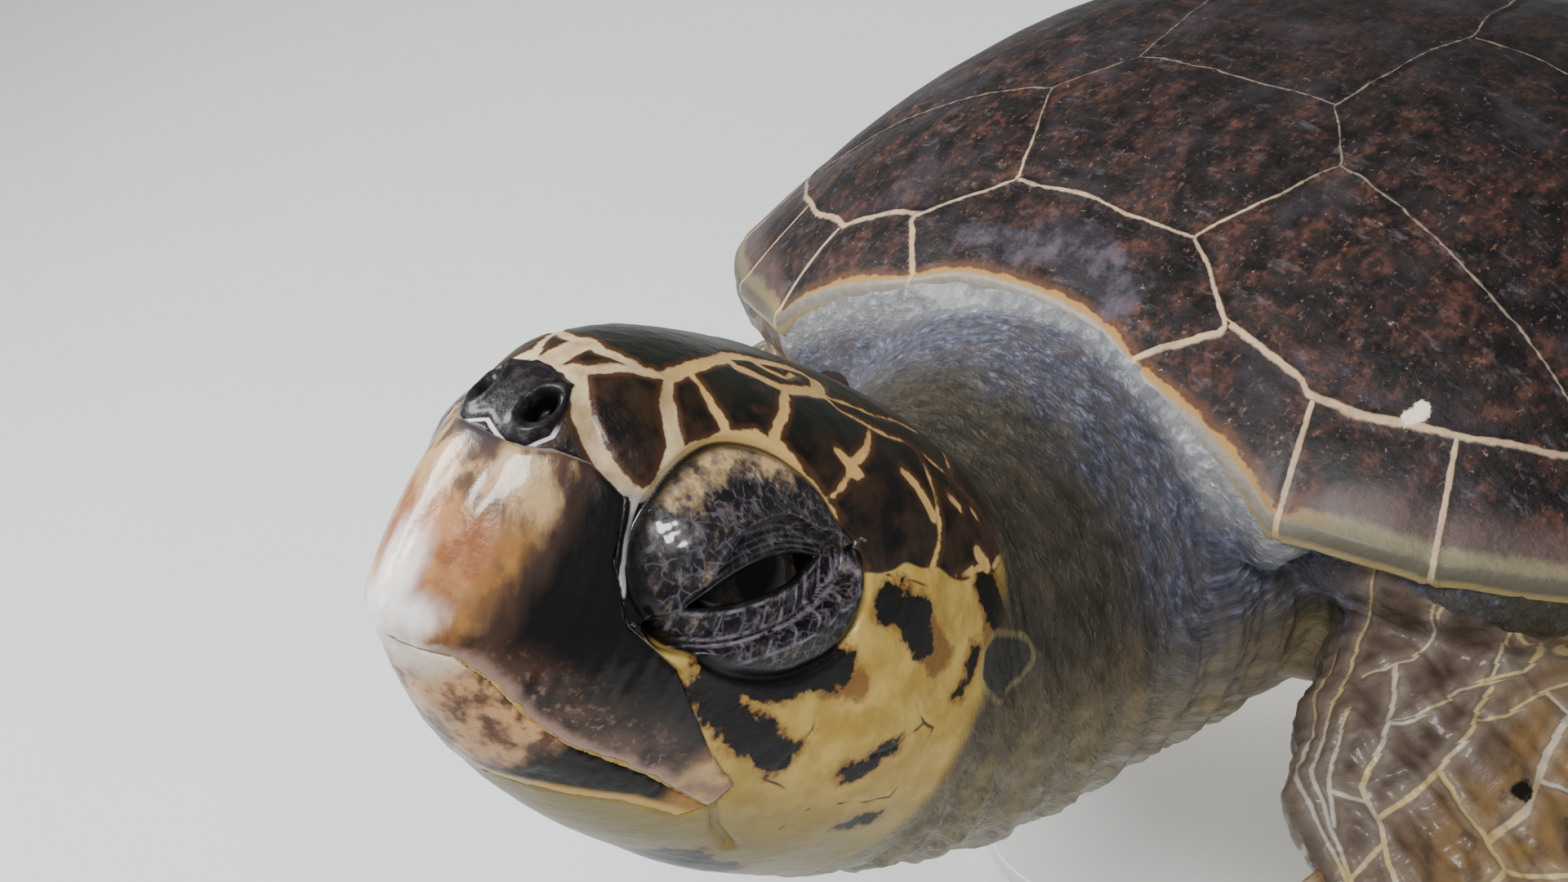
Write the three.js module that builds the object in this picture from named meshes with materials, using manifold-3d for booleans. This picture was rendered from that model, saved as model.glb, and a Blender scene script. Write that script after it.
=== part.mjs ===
// Loggerhead turtle, life size, rising for a breath, held by a plain display stand.
// Millimetres. The body is built in its own frame: -Y towards the snout, +X the turtle's
// left, +Z the back, with the rim of the shell near z = 0. It is then pitched nose up and
// set on the stand. The head has a frame of its own: x left, y back from the snout tip, z up.

import * as THREE from 'three';
import Module from 'manifold-3d';
import { mergeVertices } from 'three/addons/utils/BufferGeometryUtils.js';

const wasm = await Module();
wasm.setup();

// Driving dimensions
const GAP = 0.3;
const SHELL_LENGTH = 720;
const SHELL_WIDTH = 596;
const SHELL_HEIGHT = 181;
const SHELL_PEAK = 0.42;
const NUCHAL_RISE = 27;
const NUCHAL_EDGE = -334;
const NUCHAL_HOLLOW = 9;
const TAIL_RISE = 22;
const SIDE_RISE = 11;
const SHELL_THICKNESS = 12;
const RIM_INNER = 0.8;
const RIM_OUTER = 0.9;

const PLASTRON_FRONT = -292;
const PLASTRON_REAR = 268;
const PLASTRON_DEPTH = 95;
const PLASTRON_LOBE = 150;
const PLASTRON_BRIDGE = 96;
const PLASTRON_THICKNESS = 11;
const PLASTRON_SIDE_RISE = 82;
const PLASTRON_END_RISE = 14;
const TRUNK_INSET = 0.83;

const HEAD_SCALE = 1.033;
const HEAD_TIP = [73, -686, 34];
const HEAD_PITCH = 21.9;
const HEAD_YAW = 5.1;
const HEAD_ROLL = 1.2;
const HEAD_CUT = 203;

const BODY_PITCH = 30;
const BODY_BANK = 5;

const BASE_LENGTH = 560;
const BASE_WIDTH = 400;
const BASE_THICKNESS = 20;
const BASE_CORNER = 60;
const BASE_CENTRE_Y = 30;
const ROD_RADIUS = 11;
const ROD_SIDES = 16;
const ROD_FRONT_Y = -90;
const ROD_REAR_Y = 150;
const BODY_HEIGHT = 365;

const radians = THREE.MathUtils.degToRad;
const clamp = THREE.MathUtils.clamp;
const smoothstep = THREE.MathUtils.smoothstep;
const lerp = THREE.MathUtils.lerp;

// Materials, one per kind of surface
function finish(color, roughness, metalness = 0) {
  return () => new THREE.MeshStandardMaterial({ color, roughness, metalness });
}
const shellFinish = finish('#3a2318', 0.35);
const plastronFinish = finish('#d9c48f', 0.45);
const skinFinish = finish('#6d6258', 0.5);
const headFinish = finish('#4a3422', 0.4);
const hornFinish = finish('#d8b58a', 0.3);
const eyeFinish = finish('#14110d', 0.05);
const clawFinish = finish('#8a7350', 0.35);
const standFinish = finish('#3c3f42', 0.4, 0.6);

// Smooth monotone curve through a few stations
function profile(stations, values) {
  const last = stations.length - 1;
  const secants = [];
  for (let i = 0; i < last; i += 1) {
    secants.push((values[i + 1] - values[i]) / (stations[i + 1] - stations[i]));
  }
  const slopes = [secants[0]];
  for (let i = 1; i < last; i += 1) {
    const product = secants[i - 1] * secants[i];
    slopes.push(product > 0 ? (2 * product) / (secants[i - 1] + secants[i]) : 0);
  }
  slopes.push(secants[last - 1]);
  return (at) => {
    const x = clamp(at, stations[0], stations[last]);
    let i = 0;
    while (i < last - 1 && x > stations[i + 1]) {
      i += 1;
    }
    const width = stations[i + 1] - stations[i];
    const t = (x - stations[i]) / width;
    const s = 1 - t;
    return (
      values[i] * (1 + 2 * t) * s * s +
      slopes[i] * width * t * s * s +
      values[i + 1] * t * t * (3 - 2 * t) -
      slopes[i + 1] * width * t * t * s
    );
  };
}

// Closed body from rings of equal length, with a fan on each end
function loft(rings) {
  const sides = rings[0].length;
  const positions = [];
  const push = (point) => positions.push(point.x, point.y, point.z);
  rings.flat().forEach(push);
  const centreOf = (ring) => {
    const sum = new THREE.Vector3();
    ring.forEach((point) => sum.add(point));
    return sum.divideScalar(ring.length);
  };
  push(centreOf(rings[0]));
  push(centreOf(rings[rings.length - 1]));
  const firstCentre = rings.length * sides;
  const lastCentre = firstCentre + 1;
  const index = [];
  for (let r = 0; r < rings.length - 1; r += 1) {
    for (let k = 0; k < sides; k += 1) {
      const a = r * sides + k;
      const b = r * sides + ((k + 1) % sides);
      index.push(a, b, a + sides, b, b + sides, a + sides);
    }
  }
  const top = (rings.length - 1) * sides;
  for (let k = 0; k < sides; k += 1) {
    const next = (k + 1) % sides;
    index.push(firstCentre, next, k);
    index.push(lastCentre, top + k, top + next);
  }
  const geometry = new THREE.BufferGeometry();
  geometry.setAttribute('position', new THREE.Float32BufferAttribute(positions, 3));
  geometry.setIndex(index);
  return geometry;
}

// Signed volume, to tell whether the faces point out
function signedVolume(geometry) {
  const position = geometry.getAttribute('position');
  const index = geometry.getIndex();
  const a = new THREE.Vector3();
  const b = new THREE.Vector3();
  const c = new THREE.Vector3();
  let sum = 0;
  for (let i = 0; i < index.count; i += 3) {
    a.fromBufferAttribute(position, index.getX(i));
    b.fromBufferAttribute(position, index.getX(i + 1));
    c.fromBufferAttribute(position, index.getX(i + 2));
    sum += a.dot(b.cross(c));
  }
  return sum / 6;
}

// A solid for cutting and joining, from a closed geometry in a given frame
function solid(geometry, matrix = new THREE.Matrix4()) {
  let bare = geometry.clone();
  bare.deleteAttribute('normal');
  bare.deleteAttribute('uv');
  bare.applyMatrix4(matrix);
  bare = mergeVertices(bare, 1e-4);
  const triVerts = new Uint32Array(bare.getIndex().array);
  if (signedVolume(bare) < 0) {
    for (let i = 0; i < triVerts.length; i += 3) {
      [triVerts[i], triVerts[i + 1]] = [triVerts[i + 1], triVerts[i]];
    }
  }
  const vertProperties = new Float32Array(bare.getAttribute('position').array);
  return new wasm.Manifold(new wasm.Mesh({ numProp: 3, vertProperties, triVerts }));
}

function geometryOf(piece) {
  const mesh = piece.getMesh();
  const geometry = new THREE.BufferGeometry();
  geometry.setAttribute('position', new THREE.Float32BufferAttribute(mesh.vertProperties, 3));
  geometry.setIndex(Array.from(mesh.triVerts));
  return geometry;
}

// The largest of the bodies that a cut leaves
function mainBody(piece) {
  return piece.decompose().reduce((a, b) => (a.volume() > b.volume() ? a : b));
}

// Shell: plates laid out on rings round a centre, with a top and an underside. A plate
// grown for cutting is thicker by grow on each face, and its outermost ring spreads by it.
function plate({ outline, centreY, top, under, rings, spokes, ease = 1.4, grow = 0 }) {
  const upper = [];
  const lower = [];
  for (let r = rings; r >= 1; r -= 1) {
    const u = 1 - (1 - r / rings) ** ease;
    const upperRing = [];
    const lowerRing = [];
    for (let k = 0; k < spokes; k += 1) {
      const edge = outline((2 * Math.PI * k) / spokes);
      const x = edge.x * u;
      const y = centreY + (edge.y - centreY) * u;
      const away = new THREE.Vector2(edge.x, edge.y - centreY).setLength(r === rings ? grow : 0);
      const place = [x + away.x, y + away.y];
      upperRing.push(new THREE.Vector3(...place, top(x, y, u, edge) + grow));
      lowerRing.push(new THREE.Vector3(...place, under(x, y, u, edge) - grow));
    }
    upper.unshift(upperRing);
    lower.push(lowerRing);
  }
  return loft([...upper, ...lower]);
}

function shellHalfWidth(s) {
  const safe = clamp(s, 1e-6, 1 - 1e-6);
  return (SHELL_WIDTH / 2) * Math.sin(Math.PI * safe ** 0.7) ** 0.55;
}

function shellRim(x, y) {
  const rise = (y < 0 ? NUCHAL_RISE : TAIL_RISE) - SIDE_RISE;
  return SIDE_RISE + rise * Math.exp(-((x / 120) ** 2)) * smoothstep(Math.abs(y), 100, 300);
}

// Height of the back at a place: a dome that falls to the rim at the sides
function shellTop(x, y) {
  const s = clamp((y + SHELL_LENGTH / 2) / SHELL_LENGTH, 1e-4, 1 - 1e-4);
  const t = clamp(Math.abs(x) / shellHalfWidth(s), 0, 1);
  const front = Math.sin((Math.PI / 2) * clamp(s / SHELL_PEAK, 0, 1)) ** 0.74;
  const rear = Math.cos((Math.PI / 2) * clamp((s - SHELL_PEAK) / (1 - SHELL_PEAK), 0, 1)) ** 0.9;
  const ends = s < SHELL_PEAK ? NUCHAL_RISE : TAIL_RISE;
  const middle = ends + (SHELL_HEIGHT - ends) * (s < SHELL_PEAK ? front : rear);
  const rim = shellRim(x, y);
  return rim + (middle - rim) * (1 - t ** 2.6) ** 1.05;
}

// The edge over the neck is set back, a little hollow between its two corners
function nuchalEdge(x) {
  return NUCHAL_EDGE - NUCHAL_HOLLOW * Math.min(1, (x / 70) ** 2);
}

function shellOutline(scale = 1) {
  return (angle) => {
    const s = (1 - Math.cos(angle)) / 2;
    const side = Math.sin(angle) < 0 ? -1 : 1;
    const isEnd = Math.abs(Math.sin(angle)) < 1e-6;
    const x = isEnd ? 0 : side * shellHalfWidth(s);
    const y = Math.max((s - 0.5) * SHELL_LENGTH, nuchalEdge(x));
    return new THREE.Vector2(x * scale, y * scale);
  };
}

// The underside follows the dome inside and turns flat under the rim
function shellUnder(x, y, u, edge) {
  const inner = shellTop(x, y) - SHELL_THICKNESS;
  const flat = shellTop(edge.x, edge.y) - SHELL_THICKNESS;
  return lerp(inner, Math.min(inner, flat), smoothstep(u, RIM_INNER, RIM_OUTER));
}

function carapaceSolid(grow) {
  const design = { outline: shellOutline(), centreY: 0, top: shellTop, under: shellUnder };
  return solid(plate({ ...design, rings: 7, spokes: 40, grow }));
}

// Plastron: two lobes joined by the bridges that rise to the rim of the back
function plastronHalfWidth(s) {
  const lobe = PLASTRON_LOBE * Math.sin(Math.PI * clamp(s, 1e-6, 1 - 1e-6)) ** 0.5;
  const bridge = PLASTRON_BRIDGE * Math.exp(-(((s - 0.52) / 0.22) ** 4));
  return lobe + bridge;
}

function plastronUnder(x, y) {
  const sides = PLASTRON_SIDE_RISE * clamp((Math.abs(x) - 120) / 125, 0, 1.2) ** 1.5;
  const ends = PLASTRON_END_RISE * (Math.abs(y) / PLASTRON_FRONT) ** 3;
  return -PLASTRON_DEPTH + sides + Math.abs(ends);
}

function plastronOutline(angle) {
  const s = (1 - Math.cos(angle)) / 2;
  const isEnd = Math.abs(Math.sin(angle)) < 1e-6;
  const x = isEnd ? 0 : Math.sign(Math.sin(angle)) * plastronHalfWidth(s);
  return new THREE.Vector2(x, lerp(PLASTRON_FRONT, PLASTRON_REAR, s));
}

function plastronSolid(grow) {
  const centreY = (PLASTRON_FRONT + PLASTRON_REAR) / 2;
  const top = (x, y) => plastronUnder(x, y) + PLASTRON_THICKNESS;
  const design = { outline: plastronOutline, centreY, top, under: plastronUnder };
  return solid(plate({ ...design, rings: 5, spokes: 32, ease: 1, grow }));
}

// Trunk: the flesh between the two shells, seen at the shoulders and the groin
function trunkSolid() {
  return solid(
    plate({
      outline: shellOutline(TRUNK_INSET),
      centreY: 0,
      top: (x, y) => shellTop(x, y) - SHELL_THICKNESS / 2,
      under: (x, y) => plastronUnder(x, y) + PLASTRON_THICKNESS / 2,
      rings: 3,
      spokes: 24,
    }),
  );
}

// Head: sections along its axis, as [back, top, bottom, half width, widest height]
const headFrame = new THREE.Matrix4()
  .makeRotationZ(radians(HEAD_YAW))
  .multiply(new THREE.Matrix4().makeRotationX(radians(-HEAD_PITCH)))
  .multiply(new THREE.Matrix4().makeRotationY(radians(HEAD_ROLL)))
  .setPosition(...HEAD_TIP)
  .multiply(new THREE.Matrix4().makeScale(HEAD_SCALE, HEAD_SCALE, HEAD_SCALE));
const headBack = [2, 5, 12, 25, 45, 75, 110, 150, 190, 225];
const headTop = profile(headBack, [10, 30, 53, 74.5, 88, 95, 98, 96, 87, 76]);
const headBottom = profile(headBack, [-5, -6, -9.5, -20, -34, -48, -58, -65, -66, -62]);
const headHalfWidth = profile(headBack, [3, 9, 18, 29, 43, 57, 67.5, 74, 73, 69]);
const headWidest = profile(headBack, [2, 2, 5, 12, 20, 24, 18, 14, 9, 6]);
const HEAD_UPPER_POWER = 2.3;
const HEAD_LOWER_POWER = 2;
const HEAD_SIDES = 26;

function headSection(back) {
  const ring = [];
  const middle = headWidest(back);
  for (let k = 0; k < HEAD_SIDES; k += 1) {
    const angle = (2 * Math.PI * k) / HEAD_SIDES;
    const c = Math.cos(angle);
    const s = Math.sin(angle);
    const power = s > 0 ? HEAD_UPPER_POWER : HEAD_LOWER_POWER;
    const radius = (Math.abs(c) ** power + Math.abs(s) ** power) ** (-1 / power);
    const reach = s > 0 ? headTop(back) - middle : middle - headBottom(back);
    ring.push(new THREE.Vector3(headHalfWidth(back) * c * radius, back, middle + reach * s * radius));
  }
  return ring;
}

function headLoft() {
  const stations = [2, 3.5, 6, 10, 16, 25, 35, 47, 60, 76, 94, 114, 136, 160, 186, 212, 225];
  return loft(stations.map(headSection));
}

// Eyes: ball, swollen lids round it and the almond opening between them
const EYE_CENTRE = [39, 84, 35];
const EYE_RADIUS = 21;
const EYE_AXIS = new THREE.Vector3(0.86, -0.36, 0.36).normalize();
const LID_CENTRE = [28, 77, 39];
const LID_RADII = [34, 38, 33];
const SLIT_HALF_LENGTH = 21;
const SLIT_HALF_HEIGHT = 6.5;
const SLIT_TILT = 36;

function atSide(point, side) {
  return new THREE.Vector3(point[0] * side, point[1], point[2]);
}

function eyeBall(side, grow) {
  const ball = new THREE.SphereGeometry(EYE_RADIUS + grow, 14, 9);
  const place = atSide(EYE_CENTRE, side);
  return solid(ball, headFrame.clone().multiply(new THREE.Matrix4().setPosition(place)));
}

function lidMound(side) {
  const ball = new THREE.SphereGeometry(1, 14, 9);
  const place = new THREE.Matrix4().setPosition(atSide(LID_CENTRE, side));
  place.scale(new THREE.Vector3(...LID_RADII));
  return solid(ball, headFrame.clone().multiply(place));
}

function eyeSlit(side) {
  const almond = new THREE.Shape();
  almond.moveTo(-SLIT_HALF_LENGTH, 0);
  almond.quadraticCurveTo(0, 2 * SLIT_HALF_HEIGHT, SLIT_HALF_LENGTH, 0);
  almond.quadraticCurveTo(0, -2 * SLIT_HALF_HEIGHT, -SLIT_HALF_LENGTH, 0);
  const depth = 2 * EYE_RADIUS;
  const prism = new THREE.ExtrudeGeometry(almond, { depth, bevelEnabled: false, curveSegments: 6 });
  const outward = new THREE.Vector3(EYE_AXIS.x * side, EYE_AXIS.y, EYE_AXIS.z);
  const tilt = radians(SLIT_TILT);
  const along = new THREE.Vector3(0, Math.cos(tilt), Math.sin(tilt));
  along.addScaledVector(outward, -along.dot(outward)).normalize();
  const across = outward.clone().cross(along);
  const place = new THREE.Matrix4().makeBasis(along, across, outward);
  place.setPosition(atSide(EYE_CENTRE, side));
  return solid(prism, headFrame.clone().multiply(place));
}

// Beaks: outlines in side view, as [back, up], cut straight across the head
const mouthLine = [
  [-8, -6],
  [4, -6],
  [16, -3],
  [26, -6.5],
  [38, -13.5],
  [52, -18.5],
  [76, -21.5],
  [101, -28],
];
const upperBeakBorder = [
  [101, -18],
  [89, -11],
  [75, 1],
  [64, 12],
  [47, 20],
  [39, 35],
  [38, 52],
  [30, 57.5],
  [22, 57.5],
  [16, 55],
  [-8, 60],
];
const lowerBeakBorder = [
  [97, -34],
  [80, -33],
  [60, -37],
  [44, -42],
  [30, -52],
  [-8, -52],
];

function shrinkOutline(points, distance) {
  const shape = points.map(([x, y]) => new THREE.Vector2(x, y));
  const turn = THREE.ShapeUtils.area(shape) > 0 ? 1 : -1;
  return shape.map((point, i) => {
    const before = shape[(i + shape.length - 1) % shape.length];
    const after = shape[(i + 1) % shape.length];
    const inward = [before, point].map((from, j) => {
      const to = [point, after][j];
      const run = to.clone().sub(from).normalize();
      return new THREE.Vector2(-run.y * turn, run.x * turn);
    });
    const bisector = inward[0].clone().add(inward[1]).normalize();
    const reach = distance / Math.max(bisector.dot(inward[0]), 0.5);
    return point.clone().addScaledVector(bisector, reach);
  });
}

function beakBlock(points, shrink) {
  const halfSpan = 110;
  const outline = new THREE.Shape(shrinkOutline(points, shrink));
  const block = new THREE.ExtrudeGeometry(outline, { depth: 2 * halfSpan, bevelEnabled: false });
  const place = new THREE.Matrix4().makeBasis(
    new THREE.Vector3(0, 1, 0),
    new THREE.Vector3(0, 0, 1),
    new THREE.Vector3(1, 0, 0),
  );
  place.setPosition(-halfSpan, 0, 0);
  return solid(block, headFrame.clone().multiply(place));
}

const upperBeakOutline = [...mouthLine, ...upperBeakBorder];
const lowerBeakOutline = [...mouthLine, ...lowerBeakBorder];

// Neck: thick and folded, from the shoulders to the back of the head
const neckStations = [0, 0.3, 0.6, 0.85, 1];
const neckX = profile(neckStations, [0, 12, 40, 55, 60]);
const neckY = profile(neckStations, [-235, -330, -410, -470, -505]);
const neckZ = profile(neckStations, [-34, -42, -42, -35, -28]);
const neckHalfWidth = profile(neckStations, [128, 110, 90, 78, 71]);
const neckHalfHeight = profile(neckStations, [88, 95, 90, 80, 70]);
const neckPitch = profile(neckStations, [0, 2, 12, 20, 22]);
const NECK_FOLD = 0.025;
const NECK_RINGS = 8;
const NECK_SIDES = 20;

function neckSolid() {
  const rings = [];
  for (let r = 0; r <= NECK_RINGS; r += 1) {
    const t = r / NECK_RINGS;
    const centre = new THREE.Vector3(neckX(t), neckY(t), neckZ(t));
    const tilt = radians(neckPitch(t));
    const up = new THREE.Vector3(0, Math.sin(tilt), Math.cos(tilt));
    const fold = 1 + NECK_FOLD * Math.sin(t * 40) * Math.sin(t * Math.PI);
    const ring = [];
    for (let k = 0; k < NECK_SIDES; k += 1) {
      const angle = (2 * Math.PI * k) / NECK_SIDES;
      const point = centre.clone();
      point.x += neckHalfWidth(t) * fold * Math.cos(angle);
      point.addScaledVector(up, neckHalfHeight(t) * fold * Math.sin(angle));
      ring.push(point);
    }
    rings.push(ring);
  }
  return solid(loft(rings));
}

// Flippers: each section runs from a point on the leading edge to one on the trailing edge.
// A flipper that drops or sweeps moves its far end down or back.
const foreStations = [0, 0.15, 0.28, 0.38, 0.5, 0.64, 0.8, 0.92, 1];
const foreLead = {
  x: profile(foreStations, [96, 130, 152, 171, 212, 276, 350, 400, 430]),
  y: profile(foreStations, [-225, -280, -330, -360, -374, -354, -276, -178, -80]),
  z: profile(foreStations, [-45, -50, -62, -80, -110, -152, -202, -238, -257]),
};
const foreTrail = {
  x: profile(foreStations, [140, 188, 228, 252, 276, 306, 350, 392, 424]),
  y: profile(foreStations, [-150, -186, -214, -229, -233, -214, -164, -108, -62]),
  z: profile(foreStations, [-20, -26, -40, -58, -88, -126, -172, -216, -250]),
};
const foreThickness = profile(foreStations, [34, 33, 30, 27, 22, 17, 11, 7, 3]);
const hindStations = [0, 0.25, 0.5, 0.75, 0.92, 1];
const hindLead = {
  x: profile(hindStations, [107, 145, 187, 226, 239, 224]),
  y: profile(hindStations, [198, 248, 292, 336, 374, 406]),
  z: profile(hindStations, [-35, -46, -66, -89, -107, -108]),
};
const hindTrail = {
  x: profile(hindStations, [49, 79, 105, 130, 157, 192]),
  y: profile(hindStations, [232, 288, 344, 396, 422, 422]),
  z: profile(hindStations, [-49, -58, -66, -75, -81, -94]),
};
const hindThickness = profile(hindStations, [28, 24, 16, 10, 7, 4]);
const FLIPPER_SIDES = 12;
const FLIPPER_STATIONS = 11;
const FLIPPER_CUT = 0.17;
const BLADE_BACK = 0.38;

function flipperEdge(edge, { side, drop, sweep }, t) {
  return new THREE.Vector3(edge.x(t) * side, edge.y(t) + sweep * t * t, edge.z(t) - drop * t * t);
}

function flipperFrame(flipper, t) {
  const step = 0.01;
  const middleAt = (at) => {
    const front = flipperEdge(flipper.lead, flipper, at);
    return front.lerp(flipperEdge(flipper.trail, flipper, at), 0.5);
  };
  const middle = middleAt(t);
  const half = flipperEdge(flipper.lead, flipper, t).sub(middle);
  const run = middleAt(Math.min(t + step, 1)).sub(middleAt(Math.max(t - step, 0))).normalize();
  const back = run.clone().cross(half).normalize();
  return { middle, half, run, back };
}

function flipperLoft(flipper) {
  const rings = [];
  for (let r = 0; r <= FLIPPER_STATIONS; r += 1) {
    const t = r / FLIPPER_STATIONS;
    const { middle, half, back } = flipperFrame(flipper, t);
    const ring = [];
    for (let k = 0; k < FLIPPER_SIDES; k += 1) {
      const angle = (2 * Math.PI * k) / FLIPPER_SIDES;
      const reach = Math.cos(angle);
      const blade = Math.sin(angle) * (1 - BLADE_BACK + BLADE_BACK * reach);
      const point = middle.clone().addScaledVector(half, reach);
      point.addScaledVector(back, flipper.thickness(t) * blade);
      ring.push(point);
    }
    rings.push(ring);
  }
  return loft(rings);
}

// Each flipper is parted from the trunk by a flat that faces outward
const fore = {
  lead: foreLead,
  trail: foreTrail,
  thickness: foreThickness,
  outward: [0.7, -0.6, -0.4],
};
const hind = {
  lead: hindLead,
  trail: hindTrail,
  thickness: hindThickness,
  outward: [0.7, 0.65, -0.3],
};
const flippers = [
  { name: 'flipper_front_left', side: 1, drop: 0, sweep: 0, ...fore },
  { name: 'flipper_front_right', side: -1, drop: -40, sweep: 30, ...fore },
  { name: 'flipper_hind_left', side: 1, drop: 0, sweep: 0, ...hind },
  { name: 'flipper_hind_right', side: -1, drop: -12, sweep: 8, ...hind },
];

// Claws: two on each leading edge, short curved cones of horn with their roots sunk in
const CLAW_SUNK = 0.6;
const CLAW_ROOT = 0.17;
const CLAW_TIP_RADIUS = 0.6;
const CLAW_FLATNESS = 0.7;
const CLAW_SIDES = 6;
const CLAW_RINGS = 3;
const claws = [
  { flipper: 0, at: 0.45, length: 26 },
  { flipper: 0, at: 0.62, length: 18 },
  { flipper: 1, at: 0.45, length: 26 },
  { flipper: 1, at: 0.62, length: 18 },
  { flipper: 2, at: 0.62, length: 22 },
  { flipper: 2, at: 0.82, length: 16 },
  { flipper: 3, at: 0.62, length: 22 },
  { flipper: 3, at: 0.82, length: 16 },
];

function clawSolid({ flipper, at, length }, grow) {
  const { middle, half, run, back } = flipperFrame(flippers[flipper], at);
  const lead = half.clone().normalize();
  const root = middle.add(half).addScaledVector(lead, -CLAW_SUNK * length);
  const rings = [];
  for (let r = 0; r <= CLAW_RINGS; r += 1) {
    const t = r / CLAW_RINGS;
    const radius = CLAW_ROOT * length * (1 - t) ** 0.6 + CLAW_TIP_RADIUS + grow;
    const centre = root.clone().addScaledVector(lead, length * t * 1.15 + grow * (2 * t - 1));
    centre.addScaledVector(run, 0.3 * length * t * t);
    const ring = [];
    for (let k = 0; k < CLAW_SIDES; k += 1) {
      const angle = (2 * Math.PI * k) / CLAW_SIDES;
      const point = centre.clone().addScaledVector(run, radius * Math.cos(angle));
      point.addScaledVector(back, CLAW_FLATNESS * radius * Math.sin(angle));
      ring.push(point);
    }
    rings.push(ring);
  }
  return solid(loft(rings));
}

// Tail: a short cone that just clears the rear of the shell
const TAIL_START = 255;
const TAIL_END = 388;
const TAIL_ROOT_RADIUS = 30;
const TAIL_TIP_RADIUS = 5;
const TAIL_HEIGHT = -34;
const TAIL_DROP = 20;
const TAIL_SIDES = 16;
const TAIL_RINGS = 8;

function tailSolid() {
  const rings = [];
  for (let r = 0; r <= TAIL_RINGS; r += 1) {
    const t = r / TAIL_RINGS;
    const radius = lerp(TAIL_ROOT_RADIUS, TAIL_TIP_RADIUS, t ** 0.8);
    const y = lerp(TAIL_START, TAIL_END, t);
    const ring = [];
    for (let k = 0; k < TAIL_SIDES; k += 1) {
      const angle = (2 * Math.PI * k) / TAIL_SIDES;
      const x = 1.15 * radius * Math.cos(angle);
      const z = TAIL_HEIGHT - TAIL_DROP * t + radius * Math.sin(angle);
      ring.push(new THREE.Vector3(x, y, z));
    }
    rings.push(ring);
  }
  return solid(loft(rings));
}

// Flat cuts that part the flesh: a box on one side of a plane
const NECK_PLANE = new THREE.Vector3(0, -312, -20);
const NECK_BOX = [290, 300, 400];
const TAIL_PLANE = new THREE.Vector3(0, 302, -40);
const TAIL_BOX = [100, 110, 200];
const FLIPPER_BOX = [700, 700, 700];
const HEAD_BOX_WIDTH = 300;
const HEAD_BOX_FRONT = 60;

function slabBeyond(point, normal, [width, height, depth], grow) {
  const axis = normal.clone().normalize();
  const box = new THREE.BoxGeometry(width, height, depth);
  const turn = new THREE.Quaternion().setFromUnitVectors(new THREE.Vector3(0, 0, 1), axis);
  const centre = point.clone().addScaledVector(axis, depth / 2 - grow);
  const place = new THREE.Matrix4().compose(centre, turn, new THREE.Vector3(1, 1, 1));
  return solid(box, place);
}

function flipperRegion(flipper, grow) {
  const { middle } = flipperFrame(flipper, FLIPPER_CUT);
  const [x, y, z] = flipper.outward;
  return slabBeyond(middle, new THREE.Vector3(x * flipper.side, y, z), FLIPPER_BOX, grow);
}

function headRegion(grow) {
  const depth = HEAD_CUT + HEAD_BOX_FRONT;
  const box = new THREE.BoxGeometry(HEAD_BOX_WIDTH, depth, HEAD_BOX_WIDTH);
  const centre = new THREE.Matrix4().setPosition(0, HEAD_CUT - depth / 2 + grow, 0);
  return solid(box, headFrame.clone().multiply(centre));
}

function neckRegion(grow) {
  return slabBeyond(NECK_PLANE, new THREE.Vector3(0, -1, 0), NECK_BOX, grow);
}

function tailRegion(grow) {
  return slabBeyond(TAIL_PLANE, new THREE.Vector3(0, 1, 0), TAIL_BOX, grow);
}

// Everything of flesh is one body first, then parted
const bothSides = [1, -1];
const carapace = carapaceSolid(0);
const plastron = plastronSolid(0).subtract(carapaceSolid(GAP));
const eyes = bothSides.map((side) => eyeBall(side, 0));
const clawBodies = claws.map((claw) => clawSolid(claw, 0));
let headWhole = solid(headLoft(), headFrame);
bothSides.forEach((side) => {
  headWhole = headWhole.add(lidMound(side));
});

let flesh = headWhole.add(neckSolid()).add(trunkSolid()).add(tailSolid());
flippers.forEach((flipper) => {
  flesh = flesh.add(solid(flipperLoft(flipper)));
});
flesh = flesh.subtract(carapaceSolid(GAP)).subtract(plastronSolid(GAP));
bothSides.forEach((side) => {
  flesh = flesh.subtract(eyeBall(side, GAP)).subtract(eyeSlit(side));
});
claws.forEach((claw) => {
  flesh = flesh.subtract(clawSolid(claw, GAP));
});

const beakUpper = headWhole.intersect(beakBlock(upperBeakOutline, GAP));
const beakLower = headWhole.intersect(beakBlock(lowerBeakOutline, GAP));
flesh = flesh.subtract(beakBlock(upperBeakOutline, 0)).subtract(beakBlock(lowerBeakOutline, 0));

const fleshNodes = {};
function takeRegion(name, region) {
  fleshNodes[name] = mainBody(flesh.intersect(region(0)));
  flesh = flesh.subtract(region(GAP));
}
takeRegion('head', headRegion);
takeRegion('neck', neckRegion);
takeRegion('tail', tailRegion);
flippers.forEach((flipper) => {
  takeRegion(flipper.name, (grow) => flipperRegion(flipper, grow));
});
fleshNodes.trunk = mainBody(flesh);

// Pose of the body on the stand
const pose = new THREE.Matrix4().makeRotationFromEuler(
  new THREE.Euler(radians(-BODY_PITCH), radians(-BODY_BANK), 0, 'XYZ'),
);
pose.setPosition(0, 0, BODY_HEIGHT);

function posed(piece) {
  return piece.transform(pose.elements);
}

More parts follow.
